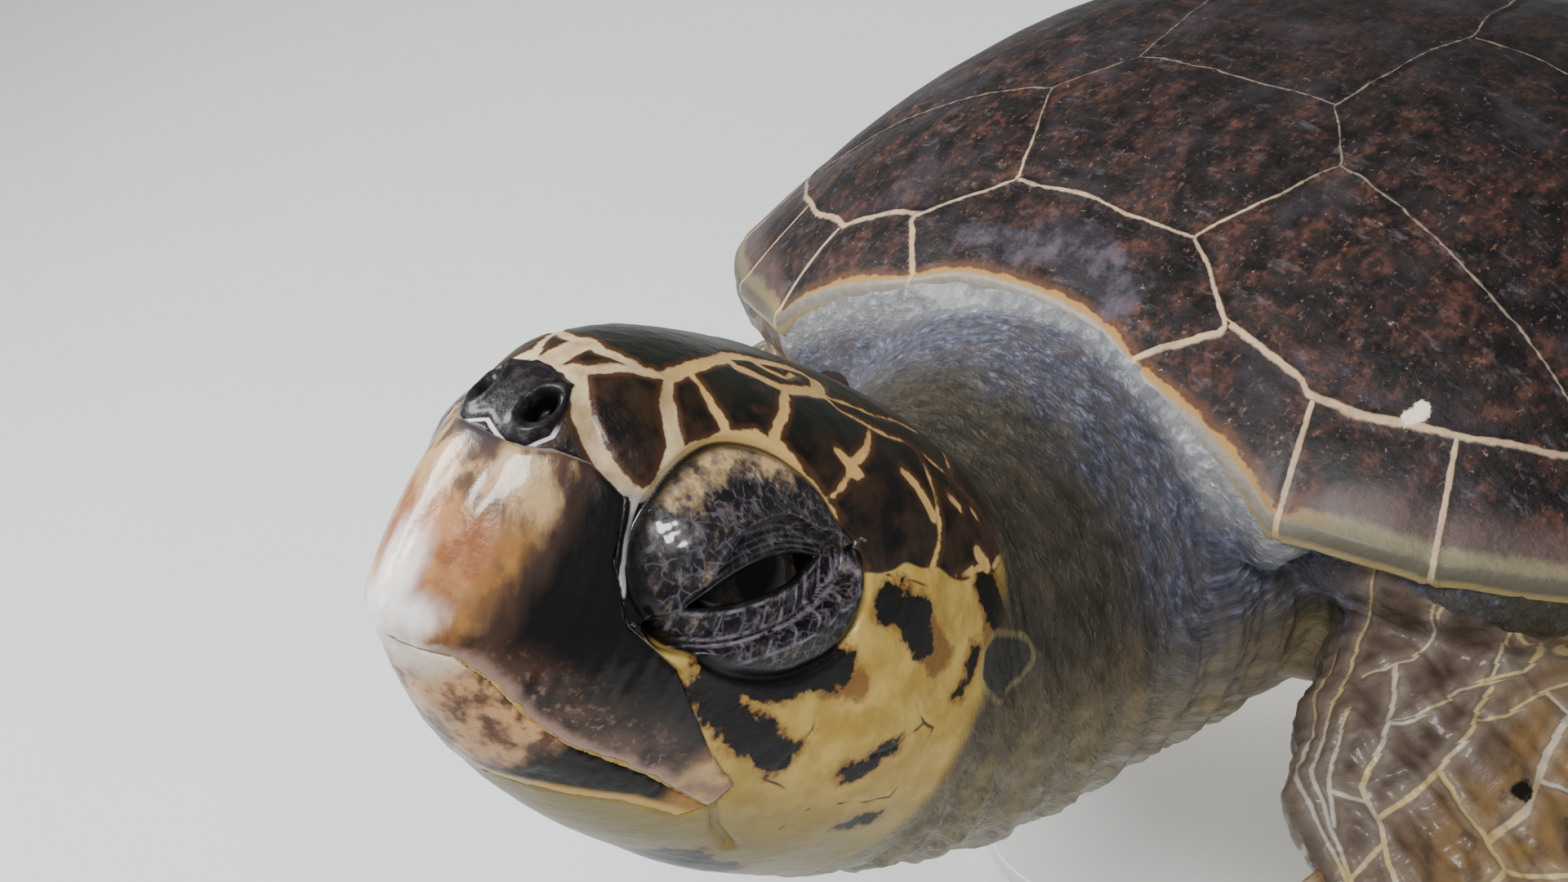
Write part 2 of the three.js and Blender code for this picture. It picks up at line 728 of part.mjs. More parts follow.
function standBase() {
  const x = BASE_WIDTH / 2;
  const y = BASE_LENGTH / 2;
  const r = BASE_CORNER;
  const outline = new THREE.Shape();
  outline.moveTo(-x + r, -y);
  outline.lineTo(x - r, -y);
  outline.absarc(x - r, -y + r, r, -Math.PI / 2, 0);
  outline.lineTo(x, y - r);
  outline.absarc(x - r, y - r, r, 0, Math.PI / 2);
  outline.lineTo(-x + r, y);
  outline.absarc(-x + r, y - r, r, Math.PI / 2, Math.PI);
  outline.lineTo(-x, -y + r);
  outline.absarc(-x + r, -y + r, r, Math.PI, 1.5 * Math.PI);
  const slab = new THREE.ExtrudeGeometry(outline, {
    depth: BASE_THICKNESS,
    bevelEnabled: false,
    curveSegments: 5,
  });
  return solid(slab, new THREE.Matrix4().setPosition(0, BASE_CENTRE_Y, 0));
}

// A rod runs up from the base and ends against the plastron. The cut leaves a piece below
// the turtle, the rod, and one above it, which is dropped.
function standRod(y) {
  const rod = new THREE.CylinderGeometry(ROD_RADIUS, ROD_RADIUS, BODY_HEIGHT, ROD_SIDES);
  rod.rotateX(Math.PI / 2);
  const place = new THREE.Matrix4().setPosition(0, y, BASE_THICKNESS + GAP + BODY_HEIGHT / 2);
  const parts = solid(rod, place).subtract(posed(plastronSolid(GAP))).decompose();
  const foot = (piece) => piece.boundingBox().min[2];
  return parts.reduce((a, b) => (foot(a) < foot(b) ? a : b));
}

const pieces = [
  ['carapace', posed(carapace), shellFinish],
  ['plastron', posed(mainBody(plastron)), plastronFinish],
  ['trunk', posed(fleshNodes.trunk), skinFinish],
  ['neck', posed(fleshNodes.neck), skinFinish],
  ['head', posed(fleshNodes.head), headFinish],
  ['beak_upper', posed(mainBody(beakUpper)), hornFinish],
  ['beak_lower', posed(mainBody(beakLower)), hornFinish],
  ['eye_left', posed(eyes[0]), eyeFinish],
  ['eye_right', posed(eyes[1]), eyeFinish],
  ['tail', posed(fleshNodes.tail), skinFinish],
  ...flippers.map(({ name }) => [name, posed(fleshNodes[name]), skinFinish]),
  ...clawBodies.map((body, i) => [`claw_${i + 1}`, posed(body), clawFinish]),
  ['stand_base', standBase(), standFinish],
  ['stand_rod_front', standRod(ROD_FRONT_Y), standFinish],
  ['stand_rod_rear', standRod(ROD_REAR_Y), standFinish],
];

const turtle = new THREE.Group();
pieces.forEach(([name, body, material]) => {
  const mesh = new THREE.Mesh(geometryOf(body), material());
  mesh.name = name;
  turtle.add(mesh);
});

// The origin is the bottom centre of the whole box
const bounds = new THREE.Box3().setFromObject(turtle);
const middle = bounds.getCenter(new THREE.Vector3());
turtle.position.set(-middle.x, -middle.y, -bounds.min.z);

export default turtle;
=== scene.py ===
"""Looks of the loggerhead turtle: skin, horn, eyes, shell plates, stand, light and camera.

Shapes are worked out in millimetres in the body's own frame: -Y towards the snout, +X the
turtle's left, +Z the back. place() then takes them into the part's frame, in metres. The head
has a frame of its own: left, back from the snout tip, up.
"""

import math

import bpy
import bmesh
import numpy as np
from mathutils import Matrix, Vector


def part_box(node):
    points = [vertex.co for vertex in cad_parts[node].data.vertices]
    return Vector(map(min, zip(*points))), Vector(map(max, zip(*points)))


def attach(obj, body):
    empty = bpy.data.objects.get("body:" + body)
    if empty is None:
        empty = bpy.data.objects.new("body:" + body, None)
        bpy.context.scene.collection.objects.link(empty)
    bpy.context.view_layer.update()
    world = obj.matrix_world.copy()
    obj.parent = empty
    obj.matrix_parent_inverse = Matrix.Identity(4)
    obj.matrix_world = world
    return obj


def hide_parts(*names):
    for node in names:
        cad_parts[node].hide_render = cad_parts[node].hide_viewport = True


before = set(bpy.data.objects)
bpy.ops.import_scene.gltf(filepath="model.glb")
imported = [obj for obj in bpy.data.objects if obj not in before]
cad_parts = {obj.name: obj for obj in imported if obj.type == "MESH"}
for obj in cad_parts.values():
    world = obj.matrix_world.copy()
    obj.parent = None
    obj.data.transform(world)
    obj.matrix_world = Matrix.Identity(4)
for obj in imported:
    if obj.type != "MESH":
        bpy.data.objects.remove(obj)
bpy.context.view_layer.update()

# ---------------------------------------------------------------- frames

MM = 0.001
BODY_HEIGHT = 365
BODY_PITCH = 30
BODY_BANK = 5
BASE_CENTRE_Y = 30


def turned(*turns):
    """Rotations in order, such as ("X", -30), as one 3 x 3 array."""
    whole = Matrix.Identity(3)
    for axis, angle in turns:
        whole = whole @ Matrix.Rotation(math.radians(angle), 3, axis)
    return np.array(whole)


base_low, base_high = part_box("stand_base")
BASE_MIDDLE = (np.array(base_low) + np.array(base_high)) / 2
POSE = turned(("X", -BODY_PITCH), ("Y", -BODY_BANK))
ORIGIN = np.array([BASE_MIDDLE[0], BASE_MIDDLE[1] - BASE_CENTRE_Y * MM, BODY_HEIGHT * MM])


def place(points):
    """Body frame, mm, to the part's frame, m."""
    return np.asarray(points, float) @ POSE.T * MM + ORIGIN


HEAD_SCALE = 1.033
HEAD_TIP = np.array([73.0, -686.0, 34.0])
HEAD_TURN = turned(("Z", 5.1), ("X", -21.9), ("Y", 1.2))


def head_to_body(points):
    return HEAD_TIP + HEAD_SCALE * (np.asarray(points, float) @ HEAD_TURN.T)


def body_to_head(points):
    return (np.asarray(points, float) - HEAD_TIP) @ HEAD_TURN / HEAD_SCALE


# ---------------------------------------------------------------- small maths


def profile(stations, values):
    """Smooth monotone curve through a few stations."""
    x = np.array(stations, float)
    y = np.array(values, float)
    step = np.diff(x)
    secant = np.diff(y) / step
    product = secant[:-1] * secant[1:]
    total = np.where(product > 0, secant[:-1] + secant[1:], 1)
    inner = np.where(product > 0, 2 * product / total, 0)
    slope = np.concatenate([secant[:1], inner, secant[-1:]])

    def at(value):
        v = np.clip(value, x[0], x[-1])
        i = np.clip(np.searchsorted(x, v, side="right") - 1, 0, len(step) - 1)
        t = (v - x[i]) / step[i]
        s = 1 - t
        near = y[i] * (1 + 2 * t) * s * s + slope[i] * step[i] * t * s * s
        far = y[i + 1] * t * t * (3 - 2 * t) - slope[i + 1] * step[i] * t * t * s
        return near + far

    return at


def smooth(value, low, high):
    t = np.clip((value - low) / (high - low), 0, 1)
    return t * t * (3 - 2 * t)


def mixed(a, b, t):
    return a + (b - a) * t


def bulge(value, width):
    """1 at zero, falling to 0 beyond about twice the width."""
    return np.exp(-((value / width) ** 2))


def unit(vectors):
    return vectors / np.maximum(np.linalg.norm(vectors, axis=-1, keepdims=True), 1e-9)


NOISE_SIZE = 64
NOISE_TABLE = np.random.default_rng(7).uniform(-1, 1, (NOISE_SIZE,) * 3)


def circle(count):
    """Angles evenly round a circle."""
    return np.linspace(0, 2 * math.pi, count, endpoint=False)


def grain(points, size, shift=0):
    """Smooth noise from -1 to 1 with lumps about as large as size."""
    p = np.asarray(points, float) / size + 17.3 * (shift + 1)
    cell = np.floor(p).astype(int)
    f = p - cell
    f = f * f * (3 - 2 * f)
    total = np.zeros(len(p))
    for corner in range(8):
        bits = np.array([corner & 1, corner >> 1 & 1, corner >> 2 & 1])
        weight = np.prod(np.where(bits, f, 1 - f), axis=1)
        i, j, k = ((cell + bits) % NOISE_SIZE).T
        total += weight * NOISE_TABLE[i, j, k]
    return total


def grains(points, size, *shifts):
    """One column of noise for each shift."""
    return np.stack([grain(points, size, shift) for shift in shifts], 1)


def layered(points, size, layers=3, shift=0):
    """Noise with finer and weaker noise on top."""
    parts = [grain(points, size / 2**n, shift + n) / 2**n for n in range(layers)]
    return sum(parts) / 1.5


# ---------------------------------------------------------------- meshes


def mesh_of(name, points, faces):
    """A mesh from an array of points and an array of quads or triangles."""
    faces = np.asarray(faces, np.int32)
    sides = faces.shape[1]
    mesh = bpy.data.meshes.new(name)
    mesh.vertices.add(len(points))
    mesh.vertices.foreach_set("co", np.asarray(points, np.float32).ravel())
    mesh.loops.add(faces.size)
    mesh.loops.foreach_set("vertex_index", faces.ravel())
    mesh.polygons.add(len(faces))
    mesh.polygons.foreach_set("loop_start", np.arange(0, faces.size, sides, dtype=np.int32))
    mesh.update(calc_edges=True)
    return mesh


def object_of(name, mesh):
    piece = bpy.data.objects.new(name, mesh)
    bpy.context.scene.collection.objects.link(piece)
    return piece


def points_of(mesh):
    points = np.empty(len(mesh.vertices) * 3, np.float32)
    mesh.vertices.foreach_get("co", points)
    return points.reshape(-1, 3).astype(float)


def set_points(mesh, points):
    mesh.vertices.foreach_set("co", np.asarray(points, np.float32).ravel())
    mesh.update()


def normals_of(mesh):
    normals = np.empty(len(mesh.vertices) * 3, np.float32)
    mesh.vertices.foreach_get("normal", normals)
    return normals.reshape(-1, 3).astype(float)


def set_fields(mesh, **fields):
    """Values at each vertex, numbers or vectors, for the materials to read."""
    for name, values in fields.items():
        values = np.asarray(values, np.float32)
        is_vector = values.ndim == 2
        kind = "FLOAT_VECTOR" if is_vector else "FLOAT"
        field = mesh.attributes.new(name, kind, "POINT")
        field.data.foreach_set("vector" if is_vector else "value", values.ravel())


def evaluated(piece):
    """The piece's mesh with its modifiers applied."""
    graph = bpy.context.evaluated_depsgraph_get()
    return bpy.data.meshes.new_from_object(piece.evaluated_get(graph))


def remeshed(name, mesh, voxel):
    """The union of all closed bodies in a mesh, as one even closed surface."""
    rough = object_of(name, mesh)
    modifier = rough.modifiers.new("union", "REMESH")
    modifier.mode = "VOXEL"
    modifier.voxel_size = voxel
    result = evaluated(rough)
    bpy.data.objects.remove(rough)
    return result


def relaxed(mesh, points, amount, rounds, shrink_back=-0.53):
    """Smooths a surface. amount, one number for each vertex, says how much."""
    edges = np.empty(len(mesh.edges) * 2, np.int32)
    mesh.edges.foreach_get("vertices", edges)
    a, b = edges.reshape(-1, 2).T
    count = len(points)
    degree = np.maximum(np.bincount(a, minlength=count) + np.bincount(b, minlength=count), 1)
    for turn in range(rounds):
        factor = 0.5 if turn % 2 == 0 or shrink_back is None else shrink_back
        for axis in range(3):
            value = points[:, axis]
            total = np.bincount(a, value[b], count) + np.bincount(b, value[a], count)
            points[:, axis] = value + factor * amount * (total / degree - value)
    return points


def loft(rings):
    """Closed body from rings of equal length, with a fan on each end: points and triangles."""
    rings = np.asarray(rings, float)
    count, sides, _ = rings.shape
    points = np.concatenate([rings.reshape(-1, 3), [rings[0].mean(0)], [rings[-1].mean(0)]])
    r, k = np.meshgrid(np.arange(count - 1), np.arange(sides), indexing="ij")
    a = (r * sides + k).ravel()
    b = (r * sides + (k + 1) % sides).ravel()
    walls = np.concatenate([np.stack([a, b, a + sides], 1), np.stack([b, b + sides, a + sides], 1)])
    k = np.arange(sides)
    nxt = (k + 1) % sides
    first = np.stack([np.full(sides, count * sides), nxt, k], 1)
    top = (count - 1) * sides
    last = np.stack([np.full(sides, count * sides + 1), top + k, top + nxt], 1)
    return points, np.concatenate([walls, first, last])


def joined(bodies):
    """Several (points, triangles) as one."""
    counts = np.cumsum([0] + [len(points) for points, _ in bodies])
    points = np.concatenate([points for points, _ in bodies])
    return points, np.concatenate([faces + n for (_, faces), n in zip(bodies, counts)])


def ellipsoid(centre, radii, sides=48):
    polar = np.linspace(0.02, math.pi - 0.02, sides // 2)[:, None]
    turn = circle(sides)[None, :]
    x = np.sin(polar) * np.cos(turn)
    y = np.sin(polar) * np.sin(turn)
    z = np.cos(polar) + 0 * turn
    return loft(np.stack([x, y, z], -1) * radii + centre)


def add_piece(name, mesh, slot, material, *nodes):
    points = points_of(mesh)
    set_fields(mesh, spot=points * MM)
    set_points(mesh, place(points))
    mesh.polygons.foreach_set("use_smooth", np.ones(len(mesh.polygons), bool))
    mesh.materials.clear()
    mesh.materials.append(material)
    piece = object_of(name, mesh)
    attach(piece, "root")
    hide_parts(*nodes)


# ---------------------------------------------------------------- material nodes


def tint(value):
    """Linear colour from a screen colour such as (188, 154, 94). Leaves sockets alone."""
    if not isinstance(value, tuple):
        return value
    parts = [c / 255 for c in value]
    linear = [c / 12.92 if c < 0.04045 else ((c + 0.055) / 1.055) ** 2.4 for c in parts]
    return (*linear, 1)


class Paint:
    """One material, with short names for the nodes it is made of."""

    def __init__(self, name, **shader):
        self.material = bpy.data.materials.new(name)
        self.material.use_nodes = True
        self.tree = self.material.node_tree
        self.shader = self.tree.nodes["Principled BSDF"]
        for socket, value in shader.items():
            self.shader.inputs[socket.replace("_", " ")].default_value = value

    def put(self, socket, value):
        if isinstance(value, bpy.types.NodeSocket):
            self.tree.links.new(value, socket)
        else:
            socket.default_value = value

    def node(self, kind, inputs, **settings):
        """A node's outputs."""
        made = self.tree.nodes.new("ShaderNode" + kind)
        for key, value in settings.items():
            setattr(made, key, value)
        for key, value in inputs.items():
            self.put(made.inputs[key], value)
        return made.outputs

    def field(self, name):
        return self.node("Attribute", {}, attribute_name=name)["Fac"]

    def spot(self, stretch, source):
        """Place on the body, or in another space that the mesh carries, stretched."""
        where = self.node("Attribute", {}, attribute_name=source)["Vector"]
        return self.node("VectorMath", {0: where, 1: stretch}, operation="MULTIPLY")[0]

    def noise(self, size, detail=4, roughness=0.55, stretch=(1, 1, 1), source="spot"):
        """Noise from 0 to 1 with lumps of about size mm."""
        where = self.spot(stretch, source)
        inputs = {"Vector": where, "Scale": 1000 / size, "Detail": detail, "Roughness": roughness}
        return self.node("TexNoise", inputs)[0]

    def cells(self, size, warp, source="spot"):
        """Distance from the borders of bent cells of about size mm."""
        where = self.spot((1, 1, 1), source)
        bend = self.node("TexNoise", {"Vector": where, "Scale": 1000 / size})[1]
        inputs = {0: bend, 1: (warp * size * MM,) * 3, 2: where}
        moved = self.node("VectorMath", inputs, operation="MULTIPLY_ADD")[0]
        inputs = {"Vector": moved, "Scale": 1000 / size}
        return self.node("TexVoronoi", inputs, feature="DISTANCE_TO_EDGE")[0]

    def calc(self, operation, *values):
        return self.node("Math", dict(enumerate(values)), operation=operation)[0]

    def plus(self, a, b):
        return self.calc("ADD", a, b)

    def less(self, a, b):
        return self.calc("SUBTRACT", a, b)

    def times(self, a, b):
        return self.calc("MULTIPLY", a, b)

    def larger(self, a, b):
        return self.calc("MAXIMUM", a, b)

    def sway(self, noise, width):
        """A noise from 0 to 1 as one of this width about zero."""
        return self.times(self.less(noise, 0.5), width)

    def step(self, value, low, high):
        """0 where value is low, 1 where it is high, smooth between."""
        inputs = {"Value": value, "From Min": low, "From Max": high}
        return self.node("MapRange", inputs, interpolation_type="SMOOTHSTEP")[0]

    def mix(self, factor, a, b):
        return self.node("Mix", {0: factor, 6: tint(a), 7: tint(b)}, data_type="RGBA")[2]

    def blend(self, factor, a, b):
        return self.node("Mix", {0: factor, 2: a, 3: b}, data_type="FLOAT")[0]

    def over(self, base, top, value, low, high, share=1):
        """The colour base with top over it, from none at low to its full share at high."""
        factor = self.step(value, low, high)
        if share != 1:
            factor = self.times(factor, share)
        return self.mix(factor, base, top)

    def relief(self, *layers):
        """Bumps on top of each other, each a height from 0 to 1 and its depth in mm."""
        normal = None
        for height, depth in layers:
            inputs = {"Height": height, "Distance": depth * MM, "Strength": 1.0}
            if normal is not None:
                inputs["Normal"] = normal
            normal = self.node("Bump", inputs)[0]
        return normal

    def finish(self, base, roughness=None, normal=None):
        for socket, value in (("Base Color", base), ("Roughness", roughness), ("Normal", normal)):
            if value is not None:
                self.put(self.shader.inputs[socket], value)
        return self.material


# ---------------------------------------------------------------- head shape

head_back = [2, 5, 12, 25, 45, 75, 110, 150, 190, 225]
head_top = profile(head_back, [10, 30, 53, 74.5, 88, 95, 98, 97, 90, 79])
head_bottom = profile(head_back, [3, -2.5, -7.5, -19.5, -34, -48, -58, -65, -66, -62])
head_half_width = profile(head_back, [3, 9, 18, 29, 43, 57, 67.5, 74.5, 75, 71])
head_widest = profile(head_back, [6, 6, 7, 12, 20, 24, 18, 14, 9, 6])
HEAD_POWERS = (2.3, 2.0)

EYE_CENTRE = np.array([39.0, 84.0, 35.0])
EYE_OUT = unit(np.array([0.86, -0.36, 0.36]))
BALL_RADIUS = 24.0
BALL_SINK = 2.5
LID_CENTRE = np.array([28.0, 77.0, 39.0])
LID_RADII = np.array([34.0, 38.0, 33.0])
# Directions across the eye, seen along its axis: backwards along the lids, and up
LID_TILT = math.radians(36)
lid_run = np.array([0, math.cos(LID_TILT), math.sin(LID_TILT)])
LID_ALONG = unit(lid_run - EYE_OUT * (lid_run @ EYE_OUT))
LID_UP = np.cross(EYE_OUT, LID_ALONG)
# Reach of the mound of lids round the eye, by angle from LID_ALONG
LID_MIDDLE_UP = 3
lid_reach = profile(
    [0, 30, 60, 90, 120, 140, 160, 180, 210, 240, 280, 310, 335, 360],
    [32.5, 32, 34, 37, 37.5, 38.6, 36.6, 32.6, 28.4, 29.4, 35.5, 41, 39, 32.5],
)
# The opening between the lids: its slope, half length and half heights
SLIT_SLOPE = math.radians(-9.5)
SLIT_LENGTH = 23
SLIT_UPPER = 4.7
SLIT_LOWER = 4.9


def head_ring(back, sides):
    angle = circle(sides)
    c = np.cos(angle)
    s = np.sin(angle)
    power = np.where(s > 0, *HEAD_POWERS)
    radius = (np.abs(c) ** power + np.abs(s) ** power) ** (-1 / power)
    middle = head_widest(back)
    reach = np.where(s > 0, head_top(back) - middle, middle - head_bottom(back))
    width = head_half_width(back) * c * radius
    return np.stack([width, np.full(sides, float(back)), middle + reach * s * radius], 1)


def head_loft(rings=90, sides=120, end=225):
    stations = 2 + (end - 2) * np.linspace(0, 1, rings) ** 1.6
    return loft([head_ring(back, sides) for back in stations])


def head_depth(q):
    """Rough distance outside the head's surface, lids included, in head units."""
    left, back, up = np.abs(q[:, 0]), q[:, 1], q[:, 2]
    at = np.clip(back, 2, 225)
    middle = head_widest(at)
    is_upper = up > middle
    reach = np.where(is_upper, head_top(at) - middle, middle - head_bottom(at))
    power = np.where(is_upper, *HEAD_POWERS)
    ratio = (left / head_half_width(at)) ** power + (np.abs(up - middle) / reach) ** power
    radial = np.hypot(left, up - middle)
    ratio = np.maximum(ratio, 1e-9) ** (1 / power)
    skull = radial * (1 - 1 / np.maximum(ratio, 1e-6))
    skull = np.maximum(skull, 2 - back)
    mound = (np.stack([left, back, up], 1) - LID_CENTRE) / LID_RADII
    size = np.linalg.norm(mound, axis=1)
    lid = (size - 1) * LID_RADII.mean()
    blend_width = 4.0
    h = np.clip(0.5 + 0.5 * (lid - skull) / blend_width, 0, 1)
    return lid + (skull - lid) * h - blend_width * h * (1 - h)


def head_slope(q):
    step = 0.05
    parts = []
    for axis in range(3):
        move = np.zeros(3)
        move[axis] = step
        parts.append((head_depth(q + move) - head_depth(q - move)) / (2 * step))
    return np.stack(parts, 1)


def onto_head(q, rounds=4):
    for _ in range(rounds):
        slope = head_slope(q)
        size = np.maximum((slope**2).sum(1), 0.05)
        step = np.clip(head_depth(q) / size, -4, 4)
        q = q - slope * step[:, None]
    return q


# Beak outlines in side view, as (back, up)
mouth_line = [(-8, -6), (4, -6), (16, -3), (26, -6.5), (38, -13.5), (52, -18.5), (76, -21.5), (101, -28)]
upper_border = [
    (101, -18), (89, -11), (75, 1), (64, 12), (47, 20), (39, 35), (38, 52), (30, 57.5), (22, 57.5),
    (16, 55), (-8, 60),
]
lower_border = [(97, -34), (80, -33), (60, -37), (44, -42), (30, -52), (-8, -52)]
mouth_crease = [(100, -26), (112, -36), (124, -42)]


def line_distance(points, line, width_start=0.0, width_end=0.0, closed=False):
    """mm to a line through a few corners, less a half width that varies along it."""
    corners = np.array(line, float)
    if closed:
        corners = np.concatenate([corners, corners[:1]])
    count = len(corners) - 1
    best = np.full(len(points), 1e9)
    for k in range(count):
        run = corners[k + 1] - corners[k]
        t = np.clip((points - corners[k]) @ run / (run @ run), 0, 1)
        width = mixed(width_start, width_end, (k + t) / count)
        gap = np.linalg.norm(points - corners[k] - t[:, None] * run, axis=1) - width
        best = np.minimum(best, gap)
    return best


def is_inside(points, outline):
    """True for the points inside a closed outline in the plane."""
    corners = np.array(outline, float)
    inside = np.zeros(len(points), bool)
    x, y = points.T
    for (ax, ay), (bx, by) in zip(corners, np.roll(corners, -1, 0)):
        crosses = (ay > y) != (by > y)
        rise = by - ay if by != ay else 1e-9
        inside ^= crosses & (x < (bx - ax) * (y - ay) / rise + ax)
    return inside


def depth_inside(flat, outline, distance):
    """A distance from an outline, made negative outside it."""
    return np.where(is_inside(flat, outline), distance, -distance)


def beak_depth(q, border):
    """mm inside a beak's outline, seen from the side. Negative outside."""
    flat = q[:, 1:]
    outline = mouth_line + border
    return depth_inside(flat, outline, line_distance(flat, outline, closed=True))


# ---------------------------------------------------------------- shell shape

SHELL_LENGTH = 720
SHELL_WIDTH = 596
SHELL_HEIGHT = 181
SHELL_PEAK = 0.42
NUCHAL_RISE = 27
NUCHAL_EDGE = -334
NUCHAL_HOLLOW = 9
TAIL_RISE = 22
SIDE_RISE = 11
SHELL_THICKNESS = 12
PLASTRON_FRONT = -292
PLASTRON_REAR = 268
PLASTRON_DEPTH = 95
PLASTRON_THICKNESS = 11


def shell_half_width(s):
    safe = np.clip(s, 1e-6, 1 - 1e-6)
    return SHELL_WIDTH / 2 * np.sin(math.pi * safe**0.7) ** 0.55


def shell_top(x, y):
    s = np.clip((y + SHELL_LENGTH / 2) / SHELL_LENGTH, 1e-4, 1 - 1e-4)
    t = np.clip(np.abs(x) / shell_half_width(s), 0, 1)
    front = np.sin(math.pi / 2 * np.clip(s / SHELL_PEAK, 0, 1)) ** 0.74
    rear = np.cos(math.pi / 2 * np.clip((s - SHELL_PEAK) / (1 - SHELL_PEAK), 0, 1)) ** 0.9
    ends = np.where(s < SHELL_PEAK, NUCHAL_RISE, TAIL_RISE)
    middle = ends + (SHELL_HEIGHT - ends) * np.where(s < SHELL_PEAK, front, rear)
    rise = np.where(y < 0, NUCHAL_RISE, TAIL_RISE) - SIDE_RISE
    rim = SIDE_RISE + rise * np.exp(-((x / 120) ** 2)) * smooth(np.abs(y), 100, 300)
    return rim + (middle - rim) * (1 - t**2.6) ** 1.05


def shell_edge(angle):
    """The shell's outline: angle 0 at the neck, pi at the tail."""
    s = (1 - np.cos(angle)) / 2
    x = np.where(np.sin(angle) < 0, -1, 1) * shell_half_width(s)
    x = np.where(np.abs(np.sin(angle)) < 1e-6, 0, x)
    hollow = NUCHAL_EDGE - NUCHAL_HOLLOW * np.minimum(1, (x / 70) ** 2)
    y = np.maximum((s - 0.5) * SHELL_LENGTH, hollow)
    return np.stack([x, y], -1)


def plastron_half_width(s):
    lobe = 150 * np.sin(math.pi * np.clip(s, 1e-6, 1 - 1e-6)) ** 0.5
    return lobe + 96 * np.exp(-(((s - 0.52) / 0.22) ** 4))


def plastron_under(x, y):
    sides = 82 * np.clip((np.abs(x) - 120) / 125, 0, 1.2) ** 1.5
    return -PLASTRON_DEPTH + sides + 14 * np.abs(y / PLASTRON_FRONT) ** 3


# ---------------------------------------------------------------- neck, tail, flippers

neck_stations = [0, 0.3, 0.6, 0.85, 1]
neck_middle = [
    profile(neck_stations, [0, 12, 40, 55, 60]),
    profile(neck_stations, [-235, -330, -410, -470, -505]),
    profile(neck_stations, [-34, -42, -42, -35, -28]),
]
neck_half_width = profile(neck_stations, [128, 110, 90, 78, 71])
neck_half_height = profile(neck_stations, [88, 95, 90, 80, 70])
neck_pitch = profile(neck_stations, [0, 2, 12, 20, 22])


def neck_loft(rings=40, sides=64):
    t = np.linspace(0, 1, rings)[:, None]
    angle = circle(sides)[None, :]
    tilt = np.radians(neck_pitch(t))
    rise = neck_half_height(t) * np.sin(angle)
    x = neck_middle[0](t) + neck_half_width(t) * np.cos(angle)
    y = neck_middle[1](t) + np.sin(tilt) * rise
    z = neck_middle[2](t) + np.cos(tilt) * rise
    return loft(np.stack([x, y, z], -1))


def tail_loft(rings=30, sides=32):
    t = np.linspace(0, 1, rings)[:, None]
    angle = circle(sides)[None, :]
    radius = mixed(30, 5, t**0.8)
    x = 1.15 * radius * np.cos(angle)
    y = mixed(255, 388, t) + 0 * angle
    z = -34 - 20 * t + radius * np.sin(angle)
    return loft(np.stack([x, y, z], -1))


def trunk_loft(rings=16, spokes=96):
    inset = 0.83
    edge = inset * shell_edge(circle(spokes))
    upper = []
    lower = []
    for u in np.linspace(1, 0.04, rings):
        x, y = edge.T * u
        upper.insert(0, np.stack([x, y, shell_top(x, y) - SHELL_THICKNESS / 2], 1))
        lower.append(np.stack([x, y, plastron_under(x, y) + PLASTRON_THICKNESS / 2], 1))
    return loft(upper + lower)


